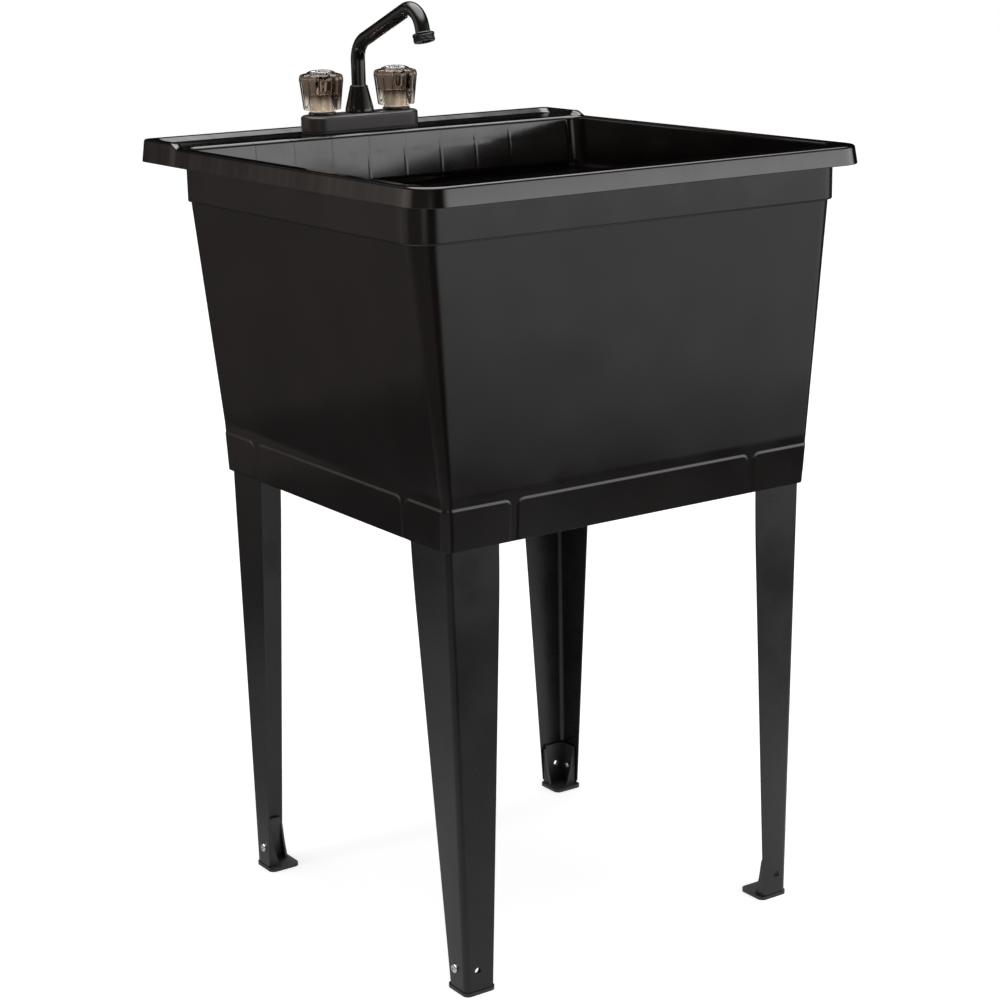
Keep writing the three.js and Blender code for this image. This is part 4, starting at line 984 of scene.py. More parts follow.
# ---------------------------------------------------------------------------------------------- legs and feet
@dataclass(frozen=True)
class Leg:
    """A leg bent from sheet steel with a bolted plastic foot, drawn in the +X, +Y quarter and mirrored."""

    name: str
    sx: int
    sy: int
    corner_x: float = 233.6
    front_y: float = 249.5
    rear_y: float = 209.8
    top_z: float = 543.5
    foot_z: float = 4.3
    skirt_z: float = 492.0
    lean_front: tuple = (11.0, 3.0)
    lean_rear: tuple = (4.5, 5.5)
    front_flange: tuple = (64.0, 34.0)
    side_flange: tuple = (70.0, 31.0)
    knee: float = 0.24
    sheet: float = 1.6
    bend: float = 7.0
    bend_steps: int = 10
    levels: int = 48
    nick: float = 3.0  # how far the flanges' lower corners are cut off
    hole: float = 3.6
    hole_z: float = 27.0
    spare_setback: float = 15.5
    bolt_setback: float = 20.4
    plate: float = 4.0
    plate_size: float = 39.0
    plate_corner: float = 7.0
    ledge: float = 1.0
    foot_height: float = 54.0
    foot_wall: float = 3.0
    gusset_reach: float = 14.0
    gap: float = 0.3
    bolt: float = 2.8
    head: float = 5.0
    head_height: float = 3.0
    nut: float = 5.0
    nut_height: float = 4.0

    def flange(self, widths: tuple, z: Array | float) -> Array | float:
        """A flange's width: it narrows as t^2 / 2k above the knee at share k, and as t - k / 2 below it."""
        t = (self.top_z - z) / (self.top_z - self.foot_z)
        eased = np.where(t < self.knee, t * t / (2 * self.knee), t - self.knee / 2)
        return widths[0] - (widths[0] - widths[1]) * eased / (1 - self.knee / 2)

    def corner(self, z: Array | float) -> tuple:
        """The outer corner's X and Y at a height: it leans in on its way down."""
        lean = self.lean_rear if self.sy > 0 else self.lean_front
        share = (self.skirt_z - z) / (self.skirt_z - self.foot_z)
        y = self.rear_y if self.sy > 0 else self.front_y
        return self.corner_x - lean[0] * share, y - lean[1] * share

    def place(self, surface: Surface) -> Surface:
        """A skin of the +X, +Y quarter put at this leg's corner."""
        return surface.mirrored(self.sx, self.sy)

    def angle(self) -> Surface:
        """The bent sheet: an L with a round bend, whose flanges narrow downwards and nick in at their foot."""
        z = np.linspace(self.foot_z, self.top_z, self.levels)
        z = np.concatenate([[z[0], z[0] + self.nick], z[1:]])[:, None]
        x, y = self.corner(z)
        trim = np.clip(self.nick - (z - self.foot_z), 0.0, self.nick)
        front, side = self.flange(self.front_flange, z) - trim, self.flange(self.side_flange, z) - trim
        turn = np.linspace(0.0, np.pi / 2, self.bend_steps + 1)[None, :]
        cos, sin = np.cos(turn), np.sin(turn)
        cx, cy = x - self.bend, y - self.bend
        inner, w = self.bend - self.sheet, self.sheet
        xs = np.hstack([x, cx + self.bend * cos, x - front, x - front, cx + inner * cos[:, ::-1], x - w])
        ys = np.hstack([y - side, cy + self.bend * sin, y, y - w, cy + inner * sin[:, ::-1], y - side])
        return capped(np.stack([xs, ys, z + 0 * xs], axis=-1))

    def holes(self, side: float, front: float) -> list[Surface]:
        """Rods where the bolt and the spare hole go, by their radii."""
        x, y = self.corner(self.hole_z)
        across = rod(side, -30.0, 30.0, 32).turned("Y", 90).moved(x, y - self.bolt_setback, self.hole_z)
        through = rod(front, -30.0, 30.0, 32).turned("X", 90).moved(x - self.spare_setback, y, self.hole_z)
        return [self.place(across), self.place(through)]

    @property
    def inner(self) -> tuple:
        """The planes that the foot's walls lie in, inside the sheet."""
        low, high = self.corner(self.foot_z), self.corner(self.foot_height)
        return tuple(min(a, b) - self.sheet - self.gap for a, b in zip(low, high))

    def foot(self) -> tuple[Surface, list[Surface]]:
        """The foot's base plate, and the walls and gussets that stand on it."""
        x, y = self.corner(self.foot_z)
        size = self.plate_size
        middle = np.array([x, y]) + self.ledge - size / 2
        plate = prism(rounded_rectangle(size, size, self.plate_corner) + middle, 0.0, self.plate)
        ix, iy = self.inner
        back, w = self.bend - self.sheet, self.foot_wall
        run, depth = self.front_flange[1] - self.sheet - 3.0, self.side_flange[1] - self.sheet - 3.0
        turn = np.linspace(np.pi / 2, 0.0, 8)
        bend = np.column_stack([ix - back + back * np.cos(turn), iy - back + back * np.sin(turn)])
        wall = [(ix - run, iy), (ix - run, iy - w), (ix - w, iy - w), (ix - w, iy - depth), (ix, iy - depth)]
        walls = prism(np.concatenate([np.array(wall), bend[::-1]]), self.plate - 1.0, self.foot_height)
        low, high, reach = self.plate - 1.0, self.foot_height * 0.92, self.gusset_reach
        curve = softened([(0.0, high), (w, high), (reach * 0.55, high * 0.45), (reach, low)], 12.0, 6)
        side = prism([(0.0, low), *curve.tolist()], 0.0, w * 0.8)
        along_x = side.turned("X", 90)
        front = along_x.turned("Z", -90).moved(ix - run, iy)
        lateral = along_x.turned("Z", 180).moved(ix, iy - depth)
        return self.place(plate), [self.place(part) for part in (walls, front, lateral)]

    def build(self) -> None:
        """Makes the leg, its foot, the bolt and the nut."""
        leg = worked(make(f"{self.name}_leg", self.place(self.angle())), cuts=self.holes(self.hole, self.hole))
        fit(eased(leg, 0.35), "sink", Finish.LEG, f"leg_{self.name}")
        plate, parts = self.foot()
        foot = worked(make(f"{self.name}_foot", plate), cuts=self.holes(self.bolt + 0.3, self.hole), adds=parts)
        fit(eased(foot, 0.6), "sink", Finish.FOOT, f"foot_{self.name}")
        x, _ = self.corner(self.hole_z)
        seat = self.inner[0] - self.foot_wall - self.gap
        spot = (x + self.gap, self.corner(self.hole_z)[1] - self.bolt_setback, self.hole_z)
        made = make(f"{self.name}_bolt", self.place(self.screw(spot[0] - seat).moved(*spot)))
        slots = [self.place(self.cross(turn).turned("Y", 90).moved(*spot)) for turn in (0, 90)]
        fit(worked(made, cuts=slots), "sink", Finish.ZINC, f"foot_bolt_{self.name}")
        hexagon = lathe(ring_profile(self.bolt + 0.2, self.nut, -self.nut_height, 0.0, 0.25), 6)
        nut = make(f"{self.name}_nut", self.place(hexagon.turned("Y", 90).moved(seat, *spot[1:])), 20.0)
        fit(eased(nut, 0.2), "sink", Finish.ZINC, f"foot_nut_{self.name}")

    def screw(self, clamped: float) -> Surface:
        """The bolt, along +X from under its domed head, threaded for the nut behind what it clamps."""
        shank = clamped + self.nut_height + 2.0
        h, r = self.head_height, self.head
        dome = softened([(0, h), (r * 0.55, h), (r, h * 0.5), (r, 0.0)], [0, r * 0.35, r * 0.2, 0], 6)[::-1]
        wall = along(-shank + 0.8, -0.01, 60, self.bolt)
        body = [(0, -shank), (self.bolt - 0.5, -shank), *wall.tolist(), *dome.tolist()]
        return lathe(body, 40, thread(0.35, 0.8, -shank + 0.4, -4.0, 0.0)).turned("Y", 90)

    def cross(self, turn: float) -> Surface:
        """One bar of the cross recess in the bolt's head, narrower at its foot."""
        w, r, h = 0.55, self.head * 0.52, self.head_height
        corners = np.array([(-r, -w, 0), (r, -w, 0), (r, w, 0), (-r, w, 0)])
        levels = ((0.5, h * 0.25), (1.0, h + 0.5))
        return capped(np.stack([corners * k + [0, 0, z] for k, z in levels])).turned("Z", turn)


# ------------------------------------------------------------------------------------------------------ drain
@dataclass(frozen=True)
class Drain:
    """The screwed drain: flange with its cross, washers, locknut, tailpiece with its slip nut, and plug."""

    y: float = -20.9
    seat: float = 543.5
    flange: float = 42.0
    flange_height: float = 2.5
    outer: float = 22.0
    bore: float = 18.5
    length: float = 46.0
    under: float = 540.0
    gasket: float = 34.0
    locknut: float = 33.0
    tail_outer: float = 19.0
    tail_bore: float = 17.5
    tail_top: float = 495.2
    tail_length: float = 60.0
    tail_flange: float = 2.4
    plug: float = 26.0
    loop: float = 7.0
    loop_wire: float = 1.8
    bar_half: float = 1.5
    gap: float = 0.3

    def at(self, surface: Surface) -> Surface:
        """A turned form stood on the drain's axis."""
        return surface.moved(dy=self.y)

    def put(self, name: str, surface: Surface, finish: Finish, node: str) -> None:
        """Makes one fixed piece of the drain."""
        fit(make(name, self.at(surface)), "sink", finish, node)

    def ring(self, name: str, top: float, height: float, finish: Finish, node: str, edge: float) -> float:
        """Makes a flat ring round the drain's thread, and returns the height of what comes under it."""
        flat = ring_profile(self.outer + self.gap, self.gasket, top - height, top, edge)
        self.put(name, lathe(flat), finish, node)
        return top - height - self.gap

    def build(self) -> None:
        """Makes the drain's pieces, from the top down."""
        top, foot = self.seat + self.flange_height, self.seat - self.length
        self.threaded(top, foot)
        z = self.ring("drain_seal", self.under - self.gap, 3.0, Finish.RUBBER, "drain_gasket", 0.6)
        z = self.ring("drain_slip_washer", z, 1.5, Finish.WHITE, "drain_friction_washer", 0.3)
        bore, r = self.outer + self.gap, self.locknut
        ring = [(bore, z - 11), (r, z - 11), (r, z - 3.2), (r - 0.5, z), (bore, z)]
        nut = self.lugged(ring, 6, 4.0, 1.9, r - 1.0, (z - 12.0, z - 3.0))
        self.put("drain_lock_ring", nut, Finish.GREY, "drain_locknut")
        end, high = self.tail_top - self.tail_length, self.tail_top
        neck, bore, r = self.tail_outer, self.tail_bore, self.outer - 0.5
        shoulder = high - self.tail_flange
        tail = [(bore, end), (neck, end), (neck, shoulder), (r, shoulder), (r, high), (bore, high)]
        self.put("tail_pipe", lathe(softened(tail, 0.4, 4, True)), Finish.WHITE, "tailpiece")
        seal = ring_profile(bore, r, high + self.gap, foot - self.gap)
        self.put("tail_seal", lathe(seal), Finish.RUBBER, "tailpiece_washer")
        z = high - 5.7
        grip, bore, neck = self.outer + 4.8, self.outer + self.gap, self.tail_outer + self.gap
        slip = [
            (neck, z), (grip - 2, z), (grip, z + 2), (grip, z + 18), (bore, z + 18), (bore, z + 3),
            (neck, z + 3),
        ]
        nut = self.lugged(slip, 8, 2.0, 1.2, grip - 0.9, (z + 2.5, z + 19.0))
        self.put("slip_nut_body", nut, Finish.WHITE, "slip_nut")
        self.stopper(top + self.gap)

    def threaded(self, top: float, foot: float) -> None:
        """Makes the flange with its threaded barrel and the cross in its throat."""
        edge, r, low = self.flange - 3.0, self.flange, self.seat
        throat = [(self.bore, foot), (self.bore, top - 16.0), (self.bore + 3.2, top), (edge, top)]
        inside = softened(throat, [0, 3, 2, 0], 6)
        rim = softened([(edge, top), (r, top - 0.9), (r, low), (self.outer, low)], [0, 1, 0.5, 0], 4)
        wall = along(foot, low - 8.0, 180, self.outer)[::-1]
        ridge = thread(0.7, 2.3, foot + 0.5, low - 8.0)
        drain = make("drain_flange_body", self.at(lathe(np.concatenate([inside, rim[1:], wall]), 96, ridge)))
        x, y, z = (self.bore + self.outer) / 2, self.bar_half, top - 32.0
        bar = prism([(-x, -y), (x, -y), (x, y), (-x, y)], z, z + 5.0)
        bars = [self.at(bar), self.at(bar.turned("Z", 90))]
        fit(worked(drain, adds=bars), "sink", Finish.STEEL, "drain_flange")

    def lugged(
        self, ring: Sequence, count: int, rise: float, below: float, beyond: float, reach: tuple
    ) -> Surface:
        """A turned nut whose outside wall is raised in upright lugs: rise * clip(3 cos(count a) - below, 0, 1).

        Args:
            ring: its closed profile, as (radius, height) pairs.
            count: of lugs.
            rise: of a lug over the wall.
            below: sets how narrow a lug is.
            beyond: the radius past which the wall is raised.
            reach: the lugs' lower and upper end.

        Returns:
            The closed skin.
        """
        made = lathe(softened(ring, 0.5, 4, True), 144)
        x, y, h = made.points.T
        radius, angle = np.hypot(x, y), np.arctan2(x, -y)
        lug = rise * np.clip(3.0 * np.cos(count * angle) - below, 0, 1)
        lug = lug * (radius > beyond) * (h > reach[0]) * (h < reach[1])
        return Surface(made.points + np.column_stack([x, y, 0 * h]) * (lug / radius)[:, None], made.faces)

    def stopper(self, seat: float) -> None:
        """The rubber plug with its pull loop, which lifts out."""
        r, high, low = self.plug, seat + 3.5, seat - 14
        neck = self.bore
        profile = [
            (0, low), (neck - 1, low), (neck + 1.4, seat), (r, seat), (r, seat + 2.1), (r - 2, high), (0, high),
        ]
        body = lathe(softened(profile, [0, 1.5, 0.4, 0.8, 1, 1.2, 0], 5))
        turn = np.linspace(0, 2 * np.pi, 48, endpoint=False)
        across, up = self.loop * np.cos(turn), self.loop * np.sin(turn)
        path = np.column_stack([across, 0 * turn, seat + 10 + up])
        plug = make("plug_body", self.at(body))
        worked(plug, adds=[self.at(tube(path, self.loop_wire))])
        fit(plug, "plug", Finish.RUBBER, "plug")


def tube(path: Array, radius: float, sides: int = 24, bore: float | None = None) -> Surface:
    """A closed hoop, or an open pipe with a bore, along a path in a plane x = constant or y = constant.

    Each ring is path + r (cos a * across + sin a * up), where `across` is the plane's normal and `up` is square
    to it and to the path.

    Args:
        path: points, shaped (n, 3).
        radius: of the outside.
        sides: points round the pipe.
        bore: radius of the inside. Without it the path closes on itself and the form is solid.

    Returns:
        The closed skin.
    """
    ahead = np.roll(path, -1, axis=0) - np.roll(path, 1, axis=0)
    if bore is not None:
        ahead[0], ahead[-1] = path[1] - path[0], path[-1] - path[-2]
    ahead /= np.linalg.norm(ahead, axis=1, keepdims=True)
    across = np.eye(3)[int(np.argmin(np.ptp(path, axis=0)))]
    up = np.cross(across, ahead)
    turn = np.linspace(0, 2 * np.pi, sides, endpoint=False)
    around = np.cos(turn)[None, :, None] * across + np.sin(turn)[None, :, None] * up[:, None, :]
    outside = path[:, None, :] + radius * around
    if bore is None:
        return skin(outside, closed=True)
    return skin(np.concatenate([outside, (path[:, None, :] + bore * around)[::-1]]), closed=True)


# -------------------------------------------------------------------------------------------------------- tap
@dataclass(frozen=True)
class Tap:
    """The centreset tap: cover on its gasket, waterway and mountings, two knobs, and a swivelling spout."""

    x: float = -19.0
    y: float = 251.0
    deck: float = 864.0
    centres: float = 101.6
    length: float = 152.0
    depth: float = 44.0
    radius: float = 20.0
    base: float = 867.6
    top: float = 885.1
    shell: float = 2.4
    edge: float = 4.2
    under: float = 860.8
    gap: float = 0.3
    knob_hole: float = 11.3
    spout_hole: float = 11.8
    shank: float = 10.3
    shank_length: float = 46.0
    barrel: float = 13.0
    stem_bore: float = 4.7
    mount_washer: float = 18.5
    mount_nut: float = 15.0
    wing: float = 20.0
    bonnet: tuple = (11.0, 16.3)  # radius in the cover's hole, and over it

    @property
    def waterway_top(self) -> float:
        """Height of the waterway's top, under the cover."""
        return self.top - self.shell - self.gap

    def at(self, surface: Surface, side: int = 0) -> Surface:
        """A form stood on the tap's middle, or under its left (-1) or right (1) knob."""
        return surface.moved(self.x + side * self.centres / 2, self.y)

    def pair(self, surface: Surface) -> list[Surface]:
        """A form stood under each knob."""
        return [self.at(surface, side) for side in (-1, 1)]

    def block(self, inset: float, low: float, high: float, edge: float) -> Array:
        """Rings of a round-ended block: up from its foot, then over a rounded edge to its middle."""
        size = np.array([self.length, self.depth]) - 2 * inset
        outline = rounded_rectangle(size[0], size[1], self.radius - inset, 20)
        reach = self.length / 2 - self.radius
        spine = np.column_stack([np.clip(outline[:, 0], -reach, reach), 0 * outline[:, 0]])
        turn = np.linspace(0, np.pi / 2, 9)
        scale = [1.0, *(1 - (edge / (self.radius - inset)) * (1 - np.cos(turn))), 0.4, 0.0]
        heights = [low, *(high - edge + edge * np.sin(turn)), high, high]
        rings = [
            np.column_stack([spine + (outline - spine) * k, np.full(len(outline), h)])
            for k, h in zip(scale, heights)
        ]
        middle = np.column_stack([0 * spine, np.full(len(outline), high)])
        return np.stack([*rings, middle])

    def build(self) -> None:
        """Makes the tap's fixed pieces, its knobs and its spout."""
        outer = self.block(0.0, self.base, self.top, self.edge)
        hollow = self.block(self.shell, self.base, self.top - self.shell, 2.0)
        cover = skin(np.concatenate([outer[::-1], hollow]))
        openings = ((-1, self.knob_hole), (1, self.knob_hole), (0, self.spout_hole))
        rods = [self.at(rod(r, self.deck + 6, self.deck + 26, 64), side) for side, r in openings]
        fit(even(worked(make("tap_cover_shell", self.at(cover)), cuts=rods)), "sink", Finish.COVER, "tap_cover")
        self.gasket()
        self.waterway()
        for side, name, body in ((-1, "left", "hot_knob"), (1, "right", "cold_knob")):
            self.mounting(side, name)
            Knob(self, side, name, body).build()
        Spout(self).build()

    def gasket(self) -> None:
        """The rubber sheet between the cover and the deck."""
        outline = rounded_rectangle(self.length - 1.5, self.depth - 1.5, self.radius - 0.75, 20)
        sheet = make("tap_gasket_sheet", self.at(prism(outline, self.deck + self.gap, self.base - self.gap)))
        rods = self.pair(rod(self.shank + self.gap, self.deck - 4, self.deck + 6, 48))
        fit(eased(worked(sheet, cuts=rods), 0.5), "sink", Finish.RUBBER, "tap_gasket")

    def waterway(self) -> None:
        """The waterway under the cover: two barrels with threaded shanks, a channel and the spout's socket."""
        top, low, r = self.waterway_top, self.deck - self.shank_length, self.shank
        wall = along(low + 0.8, self.base, 220, r).tolist()
        shank = [(0, low), (r - 0.7, low), *wall, (self.barrel, self.base), (self.barrel, top), (0, top)]
        ridge = thread(0.6, 1.8, low + 0.5, self.deck - 4.0, self.base - 0.1)
        left, right = self.pair(lathe(shank, 72, ridge))
        channel = prism(rounded_rectangle(self.centres, 16.0, 1.0, 3), self.base + 0.2, self.base + 9.0)
        socket = rod(13.6, self.base + 0.1, top, 72)
        bores = self.pair(rod(9.3, top - 12, top + 1, 64))
        pipes = self.pair(rod(6.5, low - 1, top - 11, 48))
        spout_bore = self.at(rod(9.9, top - 11, top + 1, 64))
        made = make("waterway_body", left)
        worked(made, adds=[self.at(channel), right, self.at(socket)], cuts=[*bores, *pipes, spout_bore])
        fit(made, "sink", Finish.GREY, "tap_waterway")

    def mounting(self, side: int, name: str) -> None:
        """The washer and winged nut under the deck, and the bonnet ring on the cover."""
        z, bore = self.under - self.gap, self.shank + self.gap
        washer = lathe(ring_profile(bore, self.mount_washer, z - 2, z, 0.5))
        fit(make(f"{name}_mount_washer", self.at(washer, side)), "sink", Finish.RUBBER, f"mount_washer_{name}")
        z -= 2 + self.gap
        turned = lathe(ring_profile(bore, self.mount_nut, z - 13, z, 0.8))
        nut = make(f"{name}_mount_nut", self.at(turned, side))
        root, tip = self.mount_nut - 1, self.wing
        wing = prism(softened([(root, -2), (tip, -2), (tip, 2), (root, 2)], 1.2, 4, True), z - 13, z - 3)
        worked(nut, adds=[self.at(wing.turned("Z", 45 + 90 * k), side) for k in range(4)])
        fit(eased(nut, 0.4), "sink", Finish.GREY, f"mount_nut_{name}")
        low, high, under = self.top + self.gap, self.top + 3.3, self.top - self.shell
        bore, (neck, wide) = self.stem_bore, self.bonnet
        ring = [(bore, under), (neck, under), (neck, low), (wide, low), (wide, high), (bore, high)]
        bonnet = lathe(softened(ring, [0.2, 0.2, 0.2, 0.4, 1.2, 0.3], 5, True))
        fit(make(f"{name}_bonnet", self.at(bonnet, side)), "sink", Finish.TAP, f"bonnet_ring_{name}")


@dataclass(frozen=True)
class Knob:
    """A fluted clear knob over a frosted core, with its stem, screw and domed cap."""

    tap: Tap
    side: int
    name: str
    body: str
    foot: float = 888.7
    lift: float = 2.5
    height: float = 42.0
    low_radius: float = 22.0
    high_radius: float = 26.2
    lobes: int = 10
    groove: float = 3.0
    shoulder: float = 6.5
    core: float = 15.0
    core_top: float = 13.5
    core_height: float = 21.0
    cap: float = 17.0
    cap_dome: float = 4.0
    cap_seat: float = 1.6
    sides: int = 240
    gap: float = 0.3
    stem: float = 4.4
    barrel: float = 8.6
    bore: float = 4.8
    passage: float = 2.2
    screw: float = 1.9
    blunt: float = 0.004  # rounds the valleys between the lobes

    def put(
        self, name: str, surface: Surface, finish: Finish, node: str, sharp: float = SHARP
    ) -> bpy.types.Object:
        """Makes one piece of the knob."""
        made = make(f"{self.name}_{name}", self.tap.at(surface, self.side), sharp)
        return fit(made, self.body, finish, f"{node}_{self.name}")

    @property
    def top(self) -> float:
        """Height of the shell's rim, round the cap."""
        return self.foot + self.lift + self.height

    def shell(self) -> Surface:
        """The clear shell: each row (radius, groove, height) goes round as radius - groove (1 - |cos 5a|)."""
        foot, top, deep = self.foot + self.lift, self.top, self.groove
        socket, seat = self.foot + self.core_height + self.gap, top - self.cap_seat
        wide, throat = self.high_radius, self.cap + self.gap
        rows = [
            (self.core + self.gap, 0, foot), (self.low_radius, deep, foot), (wide, deep, top - self.shoulder),
            (wide - 1.4, deep, top - 1.6), (self.cap + 1.8, deep * 0.5, top), (throat, 0, top - 0.5),
            (throat, 0, seat), (self.bore, 0, seat), (self.bore, 0, socket + 4),
            (self.passage, 0, socket + 4), (self.passage, 0, socket), (self.core_top + self.gap, 0, socket),
        ]
        line = softened(rows, [0.4, 0.8, 3.0, 2.2, 1.2, 0.3, 0.2, 0.3, 0.2, 0.2, 0.2, 0.8], 6, True)
        angle = np.linspace(0, 2 * np.pi, self.sides, endpoint=False)[None, :]
        radius, groove, z = (line[:, i : i + 1] + 0 * angle for i in range(3))
        lobe = 1 - np.sqrt(np.cos(angle * self.lobes / 2) ** 2 + self.blunt)
        radius = radius - groove * np.maximum(lobe, 0)
        return skin(np.stack([radius * np.cos(angle), radius * np.sin(angle), z], axis=-1), closed=True)

    def build(self) -> None:
        """Makes the knob's pieces."""
        self.put("knob_shell", self.shell(), Finish.SMOKE, "knob", 50.0).visible_shadow = False
        low, high = self.foot, self.foot + self.core_height
        bore, passage = self.tap.stem_bore, self.passage
        core = [
            (bore, low), (self.core, low), (self.core_top, high), (passage, high), (passage, high - 1.5),
            (bore, high - 1.5),
        ]
        flutes = grooves(0.35, 24, low + 1, high - 1)
        hub = lathe(softened(core, [0.3, 0.8, 1.2, 0.2, 0.2, 0.3], 5, True), 192, flutes)
        self.put("knob_hub", hub, Finish.FROST, "knob_core")
        self.put("stem_body", self.spindle(high - 1.8), Finish.WHITE, "stem")
        r, seat = self.screw, high + 4.6
        tip, head = seat - 13.3, seat + 2.6
        screw = [
            (0, tip), (r, tip), (r, seat), (r + 2.3, seat), (r + 2.3, seat + 1.5), (r + 0.7, head), (0, head),
        ]
        turned = lathe(softened(screw, [0, 0.4, 0.1, 0.3, 0.8, 0.8, 0], 5), 48)
        self.put("screw_body", turned, Finish.ZINC, "knob_screw")
        self.put("cap_dome", self.dome(), Finish.CLEAR, "knob_cap", 50.0)

    def spindle(self, top: float) -> Surface:
        """The stem: a barrel in the waterway, and a splined post up into the knob's core."""
        seat, r, wide = self.tap.waterway_top, self.stem, self.barrel
        low = seat - 11.7
        line = [(0, low), (wide, low), (wide, seat), (r, seat), (r, top), (0, top)]
        wall = softened(line, [0, 0.4, 0.4, 0.2, 0.6, 0], 4)
        start = along(self.foot + 2.2, self.foot + 2.4, 2, r)
        return lathe(np.concatenate([wall[:-7], start, wall[-7:]]), 160, grooves(0.4, 20, self.foot + 2))

    def dome(self) -> Surface:
        """The cap: a disc with a low dome, which rests on the seat in the shell's top."""
        base, r = self.top - self.cap_seat + self.gap, self.cap
        turn = np.linspace(0, np.pi / 2, 20)
        rim = base + self.cap_seat - self.gap
        dome = np.column_stack([r * np.cos(turn), rim + self.cap_dome * np.sin(turn)])
        dome[-1, 0] = 0.0
        return lathe(np.concatenate([[(0, base), (r - 0.3, base), (r, base + 0.3)], dome]), 120)


@dataclass(frozen=True)
class Spout:
    """The swivelling spout: cone nut, seal, bent tube, and the threaded hose end with its strainer."""

    tap: Tap
    rise: float = 59.5
    lower_bend: float = 27.5
    upper_bend: float = 25.8
    slope: float = 21.2
    straight: float = 97.5
    dive: float = 73.0
    outlet: float = 14.7
    insert: float = 10.0
    radius: float = 8.5
    wall: float = 1.7
    cone_low: float = 17.0
    cone_high: float = 10.2
    cone_height: float = 31.0
    nozzle: float = 12.6
    nozzle_length: float = 9.6
    grip: float = 6.5
    collar: float = 3.0
    gap: float = 0.3
    retainer: float = 9.6
    strainer: float = 7.7
    strainer_hole: float = 1.1
    strainer_ring: float = 4.6

    @property
    def foot(self) -> float:
        """Height of the tube's lower end, in its socket."""
        return self.tap.waterway_top - self.insert

    def line(self) -> Array:
        """The centre line: up, a bend to the long straight, a bend down and a short outlet, without a kink.

        Both bends turn to the right along the line. Where its heading is h, a bend's point is its centre
        + r (-sin h, cos h).

        Returns:
            Points with x = 0, y forward as -d, and z.
        """
        points = [np.array([[0.0, self.foot], [0.0, self.tap.top + self.rise]])]
        heading = np.pi / 2
        for radius, to, run in (
            (self.lower_bend, math.radians(self.slope), self.straight),
            (self.upper_bend, -math.radians(self.dive), self.outlet),
        ):
            at = points[-1][-1]
            centre = at + radius * np.array([math.sin(heading), -math.cos(heading)])
            h = np.linspace(heading, to, 25)
            arc = centre + radius * np.column_stack([-np.sin(h), np.cos(h)])
            heading = to
            end = arc[-1] + run * np.array([math.cos(to), math.sin(to)])
            points += [arc[1:], end[None, :]]
        d, z = np.concatenate(points).T
        return np.column_stack([0 * d, -d, z])

    def at_outlet(self, surface: Surface) -> Surface:
        """A form turned about +Z put on the outlet, its +Z the way the water goes."""
        end = self.line()[-1]
        return self.tap.at(surface.turned("X", 90 + self.dive).moved(*end))

    def put(self, name: str, surface: Surface, finish: Finish, node: str, body: str = "spout") -> None:
        """Makes one piece of the spout."""
        fit(make(name, surface), body, finish, node)

    def build(self) -> None:
        """Makes the spout's pieces."""
        pipe = make("spout_pipe", self.tap.at(tube(self.line(), self.radius, 48, self.radius - self.wall)))
        low = self.foot + 2.0
        retainer = lathe(ring_profile(self.radius - 0.8, self.retainer, low, low + 2.4), 64)
        fit(even(worked(pipe, adds=[self.tap.at(retainer)])), "spout", Finish.TAP, "spout_tube")
        base, bore, wide = self.tap.top + self.gap, self.radius + self.gap, self.cone_low
        top = base + self.cone_height
        cone = [(bore, base), (wide, base), (wide, base + 3.0), (self.cone_high, top), (bore, top)]
        nut = lathe(softened(cone, [0.3, 0.6, 3.0, 1.2, 0.3], 6, True))
        self.put("cone_nut", self.tap.at(nut), Finish.TAP, "spout_nut", "sink")
        seal = ring_profile(bore, self.retainer, low + 2.7, low + 5.1, 0.4)
        self.put("seal_ring", self.tap.at(lathe(seal, 64)), Finish.RUBBER, "spout_seal")
        self.put("hose_end", self.at_outlet(self.hose_end()), Finish.TAP, "spout_nozzle")
        disc = make("strainer_disc", self.at_outlet(rod(self.strainer, 0.6, 1.8, 64)))
        turn = np.arange(6) * np.pi / 3
        ring = self.strainer_ring * np.column_stack([np.cos(turn), np.sin(turn)])
        hole = rod(self.strainer_hole, 0, 3, 20)
        rods = [self.at_outlet(hole.moved(a, b)) for a, b in [(0.0, 0.0), *ring.tolist()]]
        fit(worked(disc, cuts=rods), "spout", Finish.STEEL, "spout_strainer")

    def hose_end(self) -> Surface:
        """The hose end: a rounded collar, and a threaded wall round a bore that narrows past the tube's end."""
        lo, hi, r = -self.grip, self.nozzle_length - self.grip, self.nozzle
        wide, narrow = self.radius + self.gap, self.radius - 0.5
        outside = along(lo + self.collar + 0.2, hi - 1.6, 60, r - 0.1)
        head = softened([(wide, lo), (r, lo), (r, lo + self.collar)], [0, 2.4, 0], 6)
        lower = softened([(r - 0.1, hi - 1.6), (r - 0.4, hi), (r - 1.6, hi)], [0, 1.4, 0], 5)[1:]
        tail = np.array([(narrow, hi), (narrow, 0.3), (wide, 0.3)])
        ridge = thread(0.7, 1.7, lo + self.collar - 0.4, hi - 1.2)
        return self.bored(lathe(np.concatenate([head, outside, lower, tail]), 120, ridge), r)

    def bored(self, surface: Surface, outer: float) -> Surface:
        """The hose end with its bore kept round: the thread's relief only touches the outside."""
        x, y, h = surface.points.T
        radius = np.hypot(x, y)
        inside = (radius < outer - 2.5) & (radius > 1)
        true = np.where(h > 0.2, self.radius - 0.5, self.radius + self.gap)
        scale = np.where(inside, true / np.maximum(radius, 1e-6), 1.0)
        return Surface(np.column_stack([x * scale, y * scale, h]), surface.faces)


